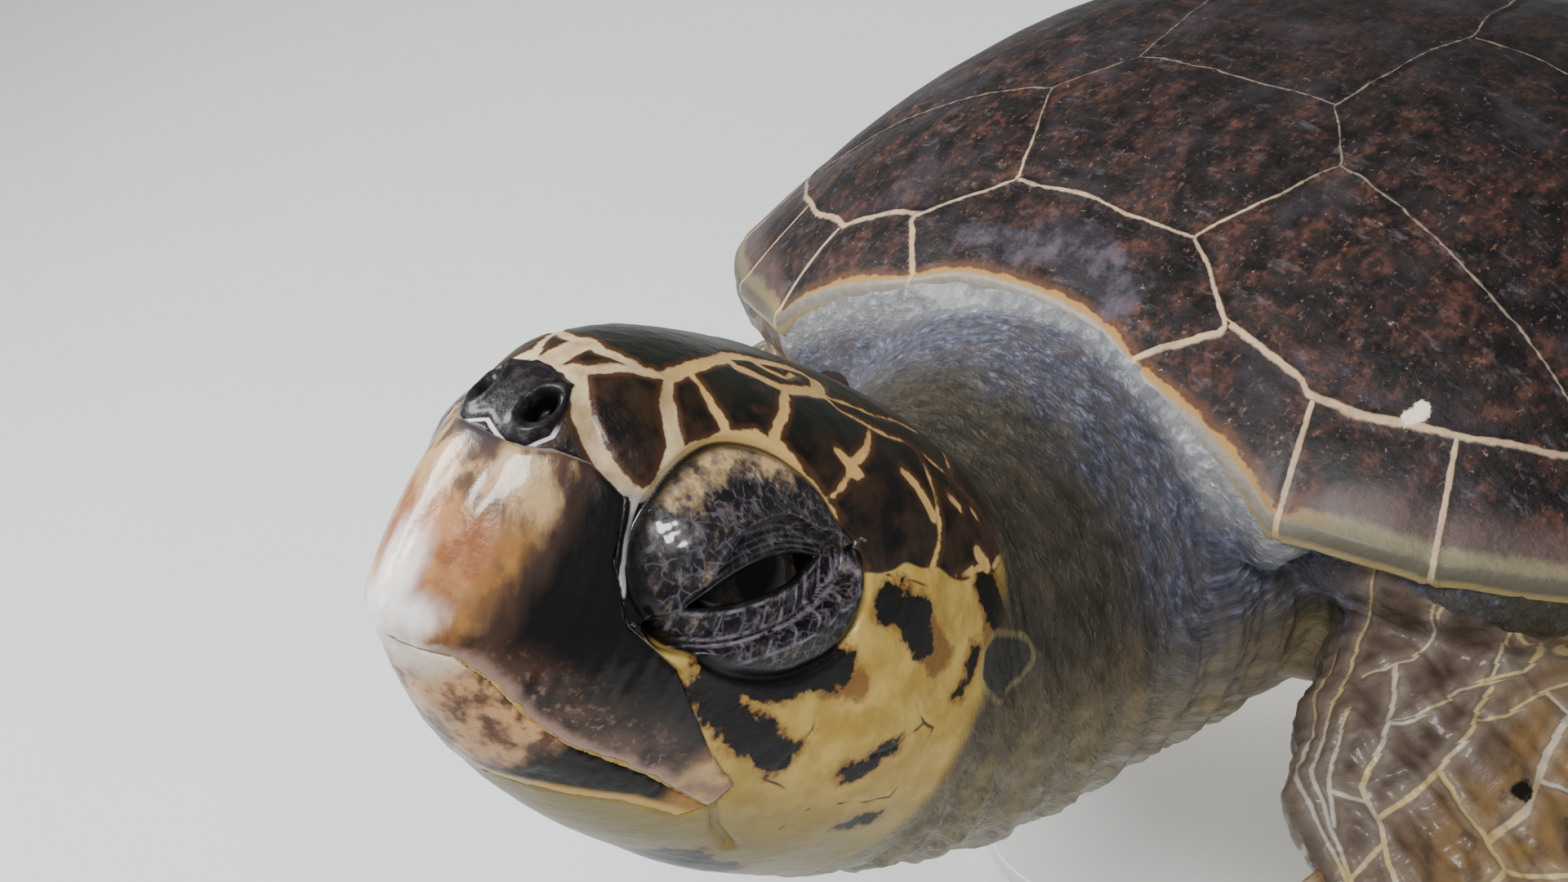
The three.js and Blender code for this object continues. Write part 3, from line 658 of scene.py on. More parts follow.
class Flipper:
    """A limb whose sections run from its leading edge to its trailing edge."""

    def __init__(self, name, side, stations, lead, trail, thickness, drop=0, sweep=0):
        self.name = name
        self.side = side
        self.lead = [profile(stations, values) for values in lead]
        self.trail = [profile(stations, values) for values in trail]
        self.thickness = profile(stations, thickness)
        self.drop = drop
        self.sweep = sweep

    def edge(self, curves, t):
        x, y, z = (curve(t) for curve in curves)
        return np.stack([x * self.side, y + self.sweep * t * t, z - self.drop * t * t], -1)

    def middle(self, t):
        return (self.edge(self.lead, t) + self.edge(self.trail, t)) / 2

    def travel(self, t):
        """mm along the middle from the root to each t."""
        stations = np.linspace(0, 1, 200)
        steps = np.linalg.norm(np.diff(self.middle(stations), axis=0), axis=1)
        return np.interp(t, stations, np.concatenate([[0], np.cumsum(steps)]))

    def around(self, points, margin):
        """True for the points in the flipper's box, wider by a margin."""
        t = np.linspace(0, 1, 20)
        edges = np.concatenate([self.edge(self.lead, t), self.edge(self.trail, t)])
        return ((points > edges.min(0) - margin) & (points < edges.max(0) + margin)).all(1)

    def sections(self, t):
        """Middle, half chord, direction along and direction through, at each t."""
        middle = self.middle(t)
        half = self.edge(self.lead, t) - middle
        run = self.middle(np.minimum(t + 0.01, 1)) - self.middle(np.maximum(t - 0.01, 0))
        run = unit(run)
        return middle, half, run, unit(np.cross(run, half))

    def loft(self, rings=90, sides=64):
        t = np.linspace(0, 1, rings)
        middle, half, _, back = (part[:, None, :] for part in self.sections(t))
        angle = circle(sides)[None, :, None]
        reach = np.cos(angle)
        blade = np.sin(angle) * (0.62 + 0.38 * reach)
        least = 2.2 * np.sign(np.sin(angle)) * np.abs(np.sin(angle)) ** 0.5
        return loft(middle + half * reach + back * (self.thickness(t)[:, None, None] * blade + least))

    def coordinates(self, points):
        """For each point: t, place across from -1 to 1, place through in mm and distance."""
        t = np.linspace(0.02, 1, 70)
        middle, half, _, back = self.sections(t)
        length = (half**2).sum(1)
        pace = np.gradient(middle, t, axis=0)
        spread = np.gradient(half, t, axis=0)
        square = unit(np.cross(half, back))
        out = []
        for chunk in np.array_split(points, max(1, len(points) // 20000)):
            away = chunk[:, None, :] - middle[None]
            across = (away * half).sum(-1) / length
            gap = away - np.clip(across, -1, 1)[..., None] * half
            distance = (gap**2).sum(-1)
            best = distance.argmin(1)
            row = np.arange(len(chunk))
            through = (away[row, best] * back[best]).sum(-1)
            over = across[row, best]
            # The way between two stations, and what it changes across
            flow = pace[best] + over[:, None] * spread[best]
            rest = (gap[row, best] * square[best]).sum(1) / (flow * square[best]).sum(1)
            rest = np.clip(rest, -0.012, 0.012)
            over = np.clip(over - rest * (flow * half[best]).sum(1) / length[best], -1, 1)
            out.append(np.stack([t[best] + rest, over, through, np.sqrt(distance[row, best])], 1))
        return np.concatenate(out)


fore_stations = [0, 0.15, 0.28, 0.38, 0.5, 0.64, 0.8, 0.92, 1]
fore_shape = {
    "stations": fore_stations,
    "lead": [
        [96, 130, 152, 171, 212, 276, 350, 400, 430],
        [-225, -280, -330, -360, -374, -354, -276, -178, -80],
        [-45, -50, -62, -80, -110, -152, -202, -238, -257],
    ],
    "trail": [
        [140, 188, 228, 252, 276, 306, 350, 392, 424],
        [-150, -186, -214, -229, -233, -214, -164, -108, -62],
        [-20, -26, -40, -58, -88, -126, -172, -216, -250],
    ],
    "thickness": [34, 33, 30, 27, 22, 17, 11, 7, 3],
}
hind_shape = {
    "stations": [0, 0.25, 0.5, 0.75, 0.92, 1],
    "lead": [
        [107, 145, 187, 226, 239, 224],
        [198, 248, 292, 336, 374, 406],
        [-35, -46, -66, -89, -107, -108],
    ],
    "trail": [
        [49, 79, 105, 130, 157, 192],
        [232, 288, 344, 396, 422, 422],
        [-49, -58, -66, -75, -81, -94],
    ],
    "thickness": [28, 24, 16, 10, 7, 4],
}
flippers = [
    Flipper("flipper_front_left", 1, **fore_shape),
    Flipper("flipper_front_right", -1, **fore_shape, drop=-40, sweep=30),
    Flipper("flipper_hind_left", 1, **hind_shape),
    Flipper("flipper_hind_right", -1, **hind_shape, drop=-12, sweep=8),
]
claws = [(0, 0.45, 26), (0, 0.62, 18), (1, 0.45, 26), (1, 0.62, 18)]
claws += [(2, 0.62, 22), (2, 0.82, 16), (3, 0.62, 22), (3, 0.82, 16)]


# ---------------------------------------------------------------- head scales and markings

# Cream seams of the head as (left, back, up) points, with the half width at both ends
cream_seams = [
    ([(0, 27, 77), (5, 28, 77), (9, 30, 78)], 1.2, 1.6),
    ([(9, 30, 78), (14, 29, 74), (19, 28, 68), (23, 30, 63), (29, 33, 58), (34, 38, 54)], 3.0, 2.2),
    ([(35, 40, 54), (38, 41, 45), (40, 41, 34), (43, 43, 26), (47, 50, 18), (52, 61, 12)], 1.5, 0.9),
    ([(9, 30, 78), (12, 35, 81), (18, 45, 84), (22, 51, 85)], 1.5, 1.3),
    ([(0, 30, 79), (0, 40, 85)], 4.5, 3.0),
    ([(0, 40, 85), (6, 39, 85), (13, 42, 85), (18, 45, 84)], 2.4, 1.3),
    ([(22, 51, 85), (21, 59, 88), (19, 70, 92), (14, 81, 95), (14, 92, 96)], 2.1, 2.0),
    ([(14, 92, 96), (14, 103, 97), (15, 115, 97), (21, 117, 96), (27, 111, 94)], 2.0, 2.4),
    ([(15, 80, 94), (20, 80, 93), (24, 87, 92), (28, 94, 92), (28, 105, 93), (27, 111, 94)], 1.8, 2.2),
    ([(17, 92, 95), (23, 100, 94), (20, 106, 96)], 1.4, 1.2),
    ([(22, 51, 85), (26, 48, 79), (32, 48, 73), (36, 49, 68), (37, 48, 62)], 1.2, 3.2),
    ([(21, 59, 88), (26, 60, 85), (31, 61, 82), (36, 63, 78), (39, 65, 74)], 0.9, 2.0),
    ([(28, 94, 92), (31, 92, 90), (37, 86, 85), (42, 80, 79)], 1.4, 1.7),
    ([(36, 40, 52), (38, 44, 56), (37, 48, 63), (38, 54, 69), (39, 63, 74), (42, 73, 76)], 1.6, 3.0),
    ([(42, 73, 76), (44, 82, 77), (49, 88, 73), (53, 96, 69)], 2.6, 0.7),
    ([(53, 96, 69), (58, 103, 62), (62, 109, 56), (64, 113, 51)], 0.5, 0.5),
    ([(37, 127, 89), (44, 120, 84), (49, 109, 78)], 0.7, 1.6),
    ([(49, 109, 78), (54, 100, 69)], 1.5, 0.8),
    ([(46, 104, 80), (50, 110, 77)], 1.2, 3.0),
    ([(39, 149, 87), (49, 149, 81), (56, 148, 73), (62, 146, 65), (66, 141, 57)], 0.7, 1.5),
    ([(49, 134, 80), (53, 139, 78), (58, 144, 71)], 1.6, 2.2),
    ([(27, 111, 94), (33, 115, 91), (37, 127, 89), (39, 139, 88), (39, 149, 87)], 1.0, 0.8),
    ([(39, 149, 87), (46, 165, 84), (54, 180, 76), (60, 188, 66), (62, 180, 60)], 0.8, 1.2),
    ([(27, 111, 94), (29, 127, 93), (30, 139, 92), (29, 161, 92), (24, 188, 89)], 0.8, 0.6),
    ([(24, 188, 89), (46, 165, 84)], 0.5, 0.6),
    ([(0, 190, 90), (0, 150, 97), (29, 150, 92)], 0.5, 0.5),
    ([(52, 158, 76), (54, 163, 74)], 2.0, 1.6),
    ([(61, 170, 64), (62, 175, 60)], 2.6, 2.6),
    ([(65, 155, 55), (64, 165, 58), (62, 176, 60)], 1.6, 2.0),
    ([(53, 172, 75), (55, 175, 73)], 1.2, 0.6),
    ([(27, 82, 88), (31, 84, 86)], 0.5, 0.2),
    ([(34, 76, 82), (35, 80, 83)], 0.5, 0.4),
]
# The nasal scale seen from the front, as (left, up)
nasal_outline = [(0, 58), (5, 56), (9, 54.5), (14, 55), (17, 60), (16, 68), (12, 75), (5, 76.5), (0, 76.5)]
# Thin dark cracks of the cheek
cheek_cracks = [
    [(65, 115, 50), (66, 124, 52), (68, 140, 52), (67, 153, 55)],
    [(67, 153, 55), (66, 165, 54)],
    [(74, 149, 17), (74, 156, 12), (74, 162, 10)],
    [(74, 156, 12), (73, 148, 4), (70, 130, -6)],
    [(69, 182, 43), (70, 174, 38), (72, 171, 30)],
    [(54, 70, 8), (56, 82, -6), (56, 92, -14)],
    [(66, 112, 15), (67, 112, 4), (60, 108, -14)],
    [(70, 130, -6), (66, 132, -20), (50, 128, -38)],
    [(60, 108, -14), (66, 132, -20), (70, 160, -14), (74, 162, 10)],
]
# Where the dark crown ends and the golden cheek begins, up by back
crown_edge = profile([90, 113, 124, 138, 156, 174, 182, 200, 225], [50, 51, 54, 57, 55, 59, 61, 68, 72])
# Black blotches of the cheek, as two ends (back, up) and a radius
blotches = [
    (125, 44, 137, 43, 6.5), (134, 40, 142, 36, 5), (73, 9, 82, 5, 5.8), (82, 4, 94, -2, 6),
    (94, -2, 106, -6, 6.4), (70, 13, 96, 15, 4.4), (96, 16, 106, 22, 5), (106, 24, 113, 21, 5.4),
    (132, -6, 140, -3, 3.4), (138, -2, 147, 4, 2.2), (175, 54, 182, 47, 5.5), (168, 22, 172, 36, 2.6),
    (62, -54, 78, -57, 5), (120, -52, 140, -58, 6), (150, -26, 160, -22, 2.4),
]
# Brown halos round some of them
halos = [(138, 40, 150, 34, 6.5), (112, 18, 120, 20, 4), (176, 54, 182, 44, 7)]
EAR_SCALE = [(184, 34, 199, 35, 6.5), (184, 32, 193, 29, 6)]


def mirrored(q):
    return np.stack([np.abs(q[:, 0]), q[:, 1], q[:, 2]], 1)


def seam_field(q):
    """mm outside the cream seams of the head. Negative on them."""
    bent = mirrored(q) + 0.9 * grains(q, 8, 0, 1, 2)
    return np.minimum.reduce([line_distance(bent, *seam) for seam in cream_seams])


def crack_field(q):
    """mm from the cracks of the cheek."""
    bent = mirrored(q) + grains(q, 6, 3, 4, 5)
    return np.minimum.reduce([line_distance(bent, crack) for crack in cheek_cracks])


def nasal_field(q):
    """mm inside the outline of the nasal scale. Negative outside."""
    flat = np.stack([np.abs(q[:, 0]), q[:, 2]], 1)
    depth = depth_inside(flat, nasal_outline, line_distance(flat, nasal_outline[:-1]))
    return np.where(q[:, 1] < 34, depth, -9)


def capsule_field(flat, capsules):
    """mm inside a marking. Negative outside."""
    gaps = [radius - line_distance(flat, [(ax, ay), (bx, by)]) for ax, ay, bx, by, radius in capsules]
    return np.maximum.reduce(gaps)


def lid_rows(eye):
    """mm to the outlines of two rows of small scales along the lower lid."""
    gap = np.abs(eye.gap)
    lines = []
    for start, end, length, shift in ((1.8, 8.6, 6.2, 0.0), (10.6, 16.6, 8.4, 0.4)):
        part = np.abs((eye.along / length + 0.06 * gap + shift) % 1 - 0.5)
        sides = np.where((gap > start) & (gap < end), (0.5 - part) * length, 9)
        lines.append(np.minimum(sides, np.minimum(np.abs(gap - start), np.abs(gap - end))))
    return np.where(eye.above, 9, np.minimum(*lines))


class EyeView:
    """Points of the head as seen along the axis of the eye on their side."""

    def __init__(self, q):
        p = mirrored(q) - EYE_CENTRE
        self.u = p @ LID_ALONG
        self.v = p @ LID_UP
        self.w = p @ EYE_OUT
        angle = np.degrees(np.arctan2(self.v - LID_MIDDLE_UP, self.u)) % 360
        self.angle = angle
        self.reach = lid_reach(angle)
        self.away = np.hypot(self.u, self.v - LID_MIDDLE_UP)
        self.outside = self.away - self.reach
        self.near = smooth(self.w, -6, 2) * (1 - smooth(self.outside, 6, 12))
        along = self.u * math.cos(SLIT_SLOPE) + self.v * math.sin(SLIT_SLOPE)
        across = self.v * math.cos(SLIT_SLOPE) - self.u * math.sin(SLIT_SLOPE)
        part = np.clip(np.abs(along) / SLIT_LENGTH, 0, 1)
        middle = -0.9 * part**2
        self.along = along
        self.above = across > middle
        half = np.where(self.above, SLIT_UPPER * (1 - part**2.2), SLIT_LOWER * (1 - part**2.8))
        beside = np.maximum(np.abs(along) - SLIT_LENGTH, 0)
        self.gap = np.where(beside > 0, np.hypot(beside, across - middle), np.abs(across - middle) - half)
        deep = np.maximum(BALL_RADIUS**2 - self.u**2 - self.v**2, 0)
        self.ball = np.where(deep > 0, np.sqrt(deep) - BALL_SINK, -BALL_RADIUS)


# Relief of the lids, mm: the mound's rise, the groove round it and the lid's thickness
LID_RISE = 3.4
LID_GROOVE = 2.6
LID_THICKNESS = 0.9
# Spacing of the fine folds of the upper lid, and of the small scales along the lower one
LID_FOLD_SPACING = 1.9
LID_SCALE_SPACING = 5.9
# How far the opening lies behind the ball's surface
OPENING_SINK = 3.5


def lid_folds(eye, lip):
    """Fine folds round the opening, and a row of small scales along the lower lid."""
    close = np.clip(np.abs(eye.gap), 0, 40)
    upper = 0.7 * bulge(close - lip - 2.4, 1.6) + 0.35 * bulge(close - 0.8, 0.8)
    wave = np.sin(2 * math.pi * close / LID_FOLD_SPACING)
    upper += 0.22 * wave * bulge(close - 0.55 * lip, 0.4 * lip)
    tooth = np.abs(((eye.along + 0.35 * eye.gap) / LID_SCALE_SPACING) % 1 - 0.5) * 2
    row = bulge(close - 5.2, 2.9) * (1 - smooth(np.abs(eye.along), 19, 26))
    lower = 0.5 * bulge(close - 1.0, 0.9) + row * (0.55 - 1.3 * smooth(tooth, 0.72, 0.98))
    lower += 1.9 * bulge(close - 16, 4.6) - 1.7 * bulge(close - 10.4, 1.4)
    return np.where(eye.above, upper, lower) * smooth(eye.gap, 0, 0.8)


def lid_relief(q):
    """Height change of the lids along the eye's axis."""
    eye = EyeView(q)
    gap = eye.gap
    inside = np.clip(1 - (eye.away / eye.reach) ** 2, 0, 1)
    height = LID_RISE * inside**0.8
    height -= LID_GROOVE * bulge(eye.outside + 0.6, 1.7)
    # Near the opening the lids lie on the ball
    face = eye.w + height
    hug = np.maximum(eye.ball + LID_THICKNESS, face - 7.5) - face
    lip = 2.4 + 6.4 * smooth(eye.along, -22, -4) * (1 - 0.6 * smooth(eye.along, 10, 24))
    upper = 1 - smooth(gap, lip - 0.6, lip + 2.2)
    lower = 1 - smooth(gap, 7.5, 14)
    height += np.minimum(hug, 0) * np.where(eye.above, upper, lower)
    height += lid_folds(eye, lip)
    strand = grain(np.stack([eye.u / 3.5, eye.v, eye.w / 2], 1), 1.5, 3)
    strand += 0.6 * grain(np.stack([eye.u, eye.v / 2.5, eye.w], 1), 1.3, 4)
    height += 0.13 * strand * smooth(gap, 2, 6) * smooth(-eye.outside, -1, 2)
    # Inside the opening the skin drops behind the ball
    floor = np.minimum(eye.ball - OPENING_SINK - eye.w, height - 3)
    height = np.where(gap < 0, mixed(height, floor, smooth(-gap, 0, 1.3)), height)
    return height * eye.near


NOSTRIL = np.array([10.4, 21.4, 66.0])
NOSTRIL_ALONG = unit(np.array([1.5, 6.0, 8.0]))
NOSTRIL_LENGTH = 6.5
NOSTRIL_WIDTH = 3.9


def nostril_field(q):
    """0 at the middle of the nostril, 1 at its rim."""
    p = mirrored(q) - NOSTRIL
    run = p @ NOSTRIL_ALONG
    rest = np.sqrt(np.maximum((p**2).sum(1) - run**2, 0))
    return np.hypot(run / NOSTRIL_LENGTH, rest / NOSTRIL_WIDTH)


# ---------------------------------------------------------------- skin

SKIN_VOXEL = 2.95
JOINT_ZONES = [((12, -330, -40), 70), ((60, -505, -28), 45), ((0, 300, -40), 50)]
JOINT_ZONES += [((0, -345, 40), 45), ((75, -350, 25), 45), ((-75, -350, 25), 45)]


def refined(mesh, wanted):
    """Splits each face with a wanted corner into four."""
    edit = bmesh.new()
    edit.from_mesh(mesh)
    edit.verts.ensure_lookup_table()
    picked = set()
    for face in edit.faces:
        if any(wanted[corner.index] for corner in face.verts):
            picked.update(face.edges)
    bmesh.ops.subdivide_edges(edit, edges=list(picked), cuts=1, use_grid_fill=True)
    bmesh.ops.triangulate(edit, faces=[f for f in edit.faces if len(f.verts) > 4])
    edit.to_mesh(mesh)
    edit.free()
    mesh.update()
    return mesh


# Loose skin under the shell's front rim: half angle it spans, thickness and depth
COLLAR_SPREAD = 0.37
COLLAR_RADIUS = 11
COLLAR_FALL = 38


def collar_loft(rings=50, sides=24):
    """Loose skin that rises to the underside of the shell's front rim."""
    angle = np.linspace(-COLLAR_SPREAD, COLLAR_SPREAD, rings)
    edge = shell_edge(angle)
    spoke = unit(edge)
    middle = edge - 8.5 * spoke
    inner = edge - 3 * spoke
    depth = shell_top(inner[:, 0], inner[:, 1]) - 12.5
    swell = 1 - (np.abs(angle) / COLLAR_SPREAD) ** 4
    radius = COLLAR_RADIUS * swell + 2
    turn = circle(sides)
    out = radius[:, None] * np.cos(turn)[None, :]
    fall = COLLAR_FALL * swell + 2
    rise = np.where(np.sin(turn) > 0, radius[:, None], fall[:, None]) * np.sin(turn)[None, :]
    x = middle[:, 0, None] + spoke[:, 0, None] * out
    y = middle[:, 1, None] + spoke[:, 1, None] * out
    return loft(np.stack([x, y, depth[:, None] + rise], -1))


# Lumps under the shoulders and hips, for the left side: centre and radii
SHOULDER = (np.array([150, -256, 2]), np.array([84, 62, 42]))
HIP = (np.array([80, 232, -30]), np.array([62, 60, 46]))
# Where the flipper joins the body, and how far the smoothing there reaches
ROOT_AT = 0.16
ROOT_RADIUS = 62


def flesh():
    """The whole body of flesh as one rough closed surface, smoothed where limbs join."""
    head_points, head_faces = head_loft()
    bodies = [(head_to_body(head_points), head_faces)]
    for side in ([1, 1, 1], [-1, 1, 1]):
        lid_points, lid_faces = ellipsoid(LID_CENTRE * side, LID_RADII)
        bodies.append((head_to_body(lid_points), lid_faces))
        bodies += [ellipsoid(centre * side, radii) for centre, radii in (SHOULDER, HIP)]
    bodies += [neck_loft(), collar_loft(), trunk_loft(), tail_loft()]
    bodies += [flipper.loft() for flipper in flippers]
    mesh = remeshed("flesh", mesh_of("flesh", *joined(bodies)), SKIN_VOXEL)
    points = points_of(mesh)
    points = relaxed(mesh, points, np.ones(len(points)), 8)
    joint = np.zeros(len(points))
    roots = [(flipper.middle(np.array([ROOT_AT]))[0], ROOT_RADIUS) for flipper in flippers]
    for centre, radius in JOINT_ZONES + roots:
        away = np.linalg.norm(points - np.array(centre, float), axis=1)
        joint = np.maximum(joint, 1 - smooth(away, radius * 0.7, radius * 1.5))
    points = relaxed(mesh, points, joint, 26, shrink_back=None)
    set_points(mesh, points)
    return mesh


def share_of_head(q):
    """1 on the head, falling to 0 where it runs into the neck."""
    inside = (q[:, 1] < 230) & (np.abs(q[:, 0]) < 110) & (np.abs(q[:, 2]) < 130)
    return np.where(inside, 1 - smooth(q[:, 1], 176, 204), 0)


# Depths and heights of the head's relief, mm
SEAM_DEPTH = 0.55
CRACK_DEPTH = 0.45
BEAK_BED_DEPTH = 3.6
CREASE_DEPTH = 2.6
NASAL_RISE = 0.7
NOSTRIL_RIM = 0.8
NOSTRIL_DEPTH = 6.5


def head_details(q):
    """Moves points of the head's skin: scales, lids, nostrils, mouth and the bed of the beaks."""
    normal = unit(head_slope(q))
    eye = EyeView(q)
    plain = np.clip(smooth(eye.outside, 0, 3) + (1 - eye.near), 0, 1)
    height = SEAM_DEPTH * (smooth(seam_field(q), -0.6, 1.6) - 1) * plain
    height -= CRACK_DEPTH * bulge(crack_field(q), 0.8) * plain
    height += 0.22 * layered(q, 6) * plain + 0.5 * layered(q, 22, 2, 5)
    for border in (upper_border, lower_border):
        inside = beak_depth(q, border)
        height = np.where(inside > 0, 0, height)
        height -= BEAK_BED_DEPTH * smooth(inside, 0.2, 2.2)
    crease = line_distance(q[:, 1:], mouth_crease)
    height -= CREASE_DEPTH * bulge(crease, 1.3) * (q[:, 2] < 0)
    nasal = nasal_field(q)
    height += NASAL_RISE * smooth(nasal, 0, 2.5) - 0.4 * bulge(nasal, 0.7)
    nostril = nostril_field(q)
    hole = NOSTRIL_DEPTH * (1 - smooth(nostril, 0.3, 1.05))
    height += NOSTRIL_RIM * bulge(nostril - 1.3, 0.3) - hole
    q = q + normal * (height * share_of_head(q))[:, None]
    side = np.where(q[:, 0] < 0, -1.0, 1.0)
    outward = EYE_OUT * np.stack([side, np.ones(len(q)), np.ones(len(q))], 1)
    return q + outward * (lid_relief(q) * share_of_head(q))[:, None]


# Folds across the neck: spacing of the large and the fine ones, and depth of the large, mm
FOLD_SPACING = 29
FINE_FOLD_SPACING = 8.5
FOLD_DEPTH = 3.2


def neck_folds(points, share, drape):
    """Folds across the neck, deepest on the throat, and loose wrinkled skin elsewhere."""
    reach = np.clip((-points[:, 1] - 235) / 270, 0, 1.2)
    on_neck = smooth(-points[:, 1], 250, 300) * (1 - share)
    below = smooth(-points[:, 2], -10, 60)
    bend = 9 * grain(points, 60, 1) + 3 * grain(points, 22, 2)
    run = points[:, 1] + bend + 0.25 * points[:, 2]
    big = 0.5 + 0.5 * np.cos(2 * math.pi * run / FOLD_SPACING)
    fine_run = run + 2.5 * grain(points, 9, 5)
    fine = 0.5 + 0.5 * np.cos(2 * math.pi * fine_run / FINE_FOLD_SPACING)
    height = below * FOLD_DEPTH * (big**1.5 - 0.6)
    height = height + 0.8 * (fine - 0.5) + 0.7 * layered(points, 10, 3, 4)
    ridge = 1.7 * (0.3 - np.abs(grain(drape, 8, 14))) + 0.8 * (0.3 - np.abs(grain(drape, 4.5, 15)))
    height += ridge * smooth(drape[:, 0], 7, 20)
    return height * on_neck * smooth(reach, 0, 0.1)


def flipper_zone(points, level):
    """Where the skin of the flippers needs a finer mesh."""
    zone = np.zeros(len(points), bool)
    for flipper in flippers[: 4 if level == 0 else 1]:
        near = np.flatnonzero(flipper.around(points, 30))
        if level == 0:
            t, _, _, distance = flipper.coordinates(points[near]).T
            wanted = (t > 0.05) & (distance < flipper.thickness(t) + 9)
        else:
            border, _, share, t = flipper_cells(flipper, points[near])
            wanted = (share > 0.02) & (border < 2.4 - 0.8 * level) & (t < 0.55)
        zone[near] |= wanted
    return zone


def head_zone(q, level):
    """Where the skin of the head needs a finer mesh: all of it, its lines, the lids' edges."""
    if level == 0:
        return np.ones(len(q), bool)
    eye = EyeView(q)
    on_lids = (eye.near > 0) & (eye.outside < 2)
    if level == 2:
        return on_lids & (np.abs(eye.gap) < 3) & (eye.w > 0)
    lines = (np.abs(seam_field(q)) < 2.2) | (crack_field(q) < 1.6) | (np.abs(nasal_field(q)) < 2)
    return on_lids | (nostril_field(q) < 2.6) | lines


def skin_details(mesh):
    """Adds relief to the rough skin and the fields its material reads."""
    for level in range(3):
        q = body_to_head(points_of(mesh))
        head = (share_of_head(q) > 0) & (q[:, 1] > 2)
        wanted = flipper_zone(head_to_body(q), level) & ~head
        wanted[head] = head_zone(q[head], level)
        mesh = refined(mesh, wanted)
        if level < 2:
            q = body_to_head(points_of(mesh))
            share = share_of_head(q)
            close = share > 0
            q[close] += (onto_head(q[close]) - q[close]) * share[close, None]
            set_points(mesh, head_to_body(q))
    q = body_to_head(points_of(mesh))
    share = share_of_head(q)
    close = share > 0
    shaped = q.copy()
    shaped[close] = head_details(q[close])
    points = head_to_body(q)
    set_points(mesh, head_to_body(shaped))
    fields = skin_fields(points, q, share)
    relief = neck_folds(points, share, fields["drape"] / MM)
    relief += fields["flipper"] * 0.7 * (smooth(fields["plate"], -0.4, 2.0) - 0.5)
    relief += 0.25 * layered(points, 7, 2, 12) * (1 - share)
    set_points(mesh, head_to_body(shaped) + normals_of(mesh) * relief[:, None])
    set_fields(mesh, **fields)
    return mesh


# Seams between the large scales near the shoulder of a fore flipper, as (t, across) points on
# its upper side with a half width in mm
shoulder_seams = [
    ([(0.24, 0.86), (0.30, 0.93), (0.36, 0.96), (0.54, 0.97)], 0.6),
    ([(0.22, 0.7), (0.29, 0.8), (0.33, 0.87), (0.37, 0.9), (0.4, 0.89), (0.46, 0.92), (0.54, 0.9)], 0.6),
    ([(0.32, 0.74), (0.35, 0.81), (0.39, 0.85), (0.42, 0.88)], 0.6),
    (
        [(0.285, 0.52), (0.32, 0.53), (0.34, 0.56), (0.36, 0.61)]
        + [(0.39, 0.72), (0.43, 0.72), (0.47, 0.75), (0.54, 0.7)],
        0.9,
    ),
    ([(0.34, 0.56), (0.342, 0.43), (0.316, 0.17), (0.31, 0.0)], 0.6),
    ([(0.31, 0.0), (0.304, -0.17), (0.29, -0.32), (0.285, -0.46), (0.275, -0.8)], 0.6),
    ([(0.42, 0.72), (0.408, 0.54), (0.39, 0.34)], 0.9),
    ([(0.39, 0.34), (0.352, 0.13), (0.316, 0.0)], 0.8),
    ([(0.348, 0.09), (0.341, -0.07), (0.328, -0.23), (0.31, -0.5), (0.30, -0.9)], 0.6),
    (
        [(0.39, 0.34), (0.408, 0.30), (0.433, 0.30), (0.455, 0.25)]
        + [(0.48, 0.25), (0.5, 0.45), (0.54, 0.5)],
        1.1,
    ),
    ([(0.35, -0.42), (0.36, -0.35), (0.384, -0.25), (0.41, -0.14), (0.433, 0.0), (0.455, 0.25)], 1.3),
    ([(0.326, -0.3), (0.35, -0.42), (0.36, -0.9)], 0.7),
    ([(0.31, 0.0), (0.297, -0.03), (0.279, -0.09), (0.26, -0.19), (0.242, -0.38), (0.22, -0.7)], 0.7),
    ([(0.39, 0.85), (0.402, 0.72)], 0.7),
    ([(0.285, 0.7), (0.285, 0.43), (0.26, 0.2), (0.26, 0.05), (0.26, -0.19)], 0.5),
    ([(0.24, 0.5), (0.25, 0.34), (0.20, 0.05), (0.205, -0.4), (0.2, -0.9)], 0.6),
    ([(0.41, -0.14), (0.45, -0.5), (0.45, -0.9)], 0.8),
    ([(0.48, 0.25), (0.5, -0.1), (0.5, -0.5), (0.47, -0.9)], 0.8),
    ([(0.46, 0.92), (0.44, 0.72)], 0.7),
]


# Beyond this t, and on the other flippers, scattered cells stand for the scales
SHOULDER_END = 0.52
# A cell's length in mm, and its width as a share of that
CELL_SIZE = 31.0
CELL_SHAPE = 0.66


def nearest_cells(columns):
    """mm to the border between the cells, and a value for each cell."""
    cell = np.floor(columns).astype(int)
    random = np.random.default_rng(11).uniform(0.12, 0.88, (64, 64, 3))
    nearest = np.full(len(columns), 1e9)
    second = nearest
    value = np.zeros(len(columns))
    for i in range(-2, 3):
        for j in range(-2, 3):
            a = cell[:, 0] + i
            b = cell[:, 1] + j
            seed = random[a % 64, (b + cell[:, 2]) % 64]
            dx = (a + seed[:, 0] + 0.5 * (b % 2) - columns[:, 0]) * CELL_SIZE
            dy = (b + seed[:, 1] - columns[:, 1]) * CELL_SHAPE * CELL_SIZE
            gap = np.hypot(dx * 0.8, dy)
            nearer = gap < nearest
            second = np.where(nearer, nearest, np.minimum(second, gap))
            value = np.where(nearer, seed[:, 2], value)
            nearest = np.minimum(nearest, gap)
    return (second - nearest) / 2 - 0.8, value


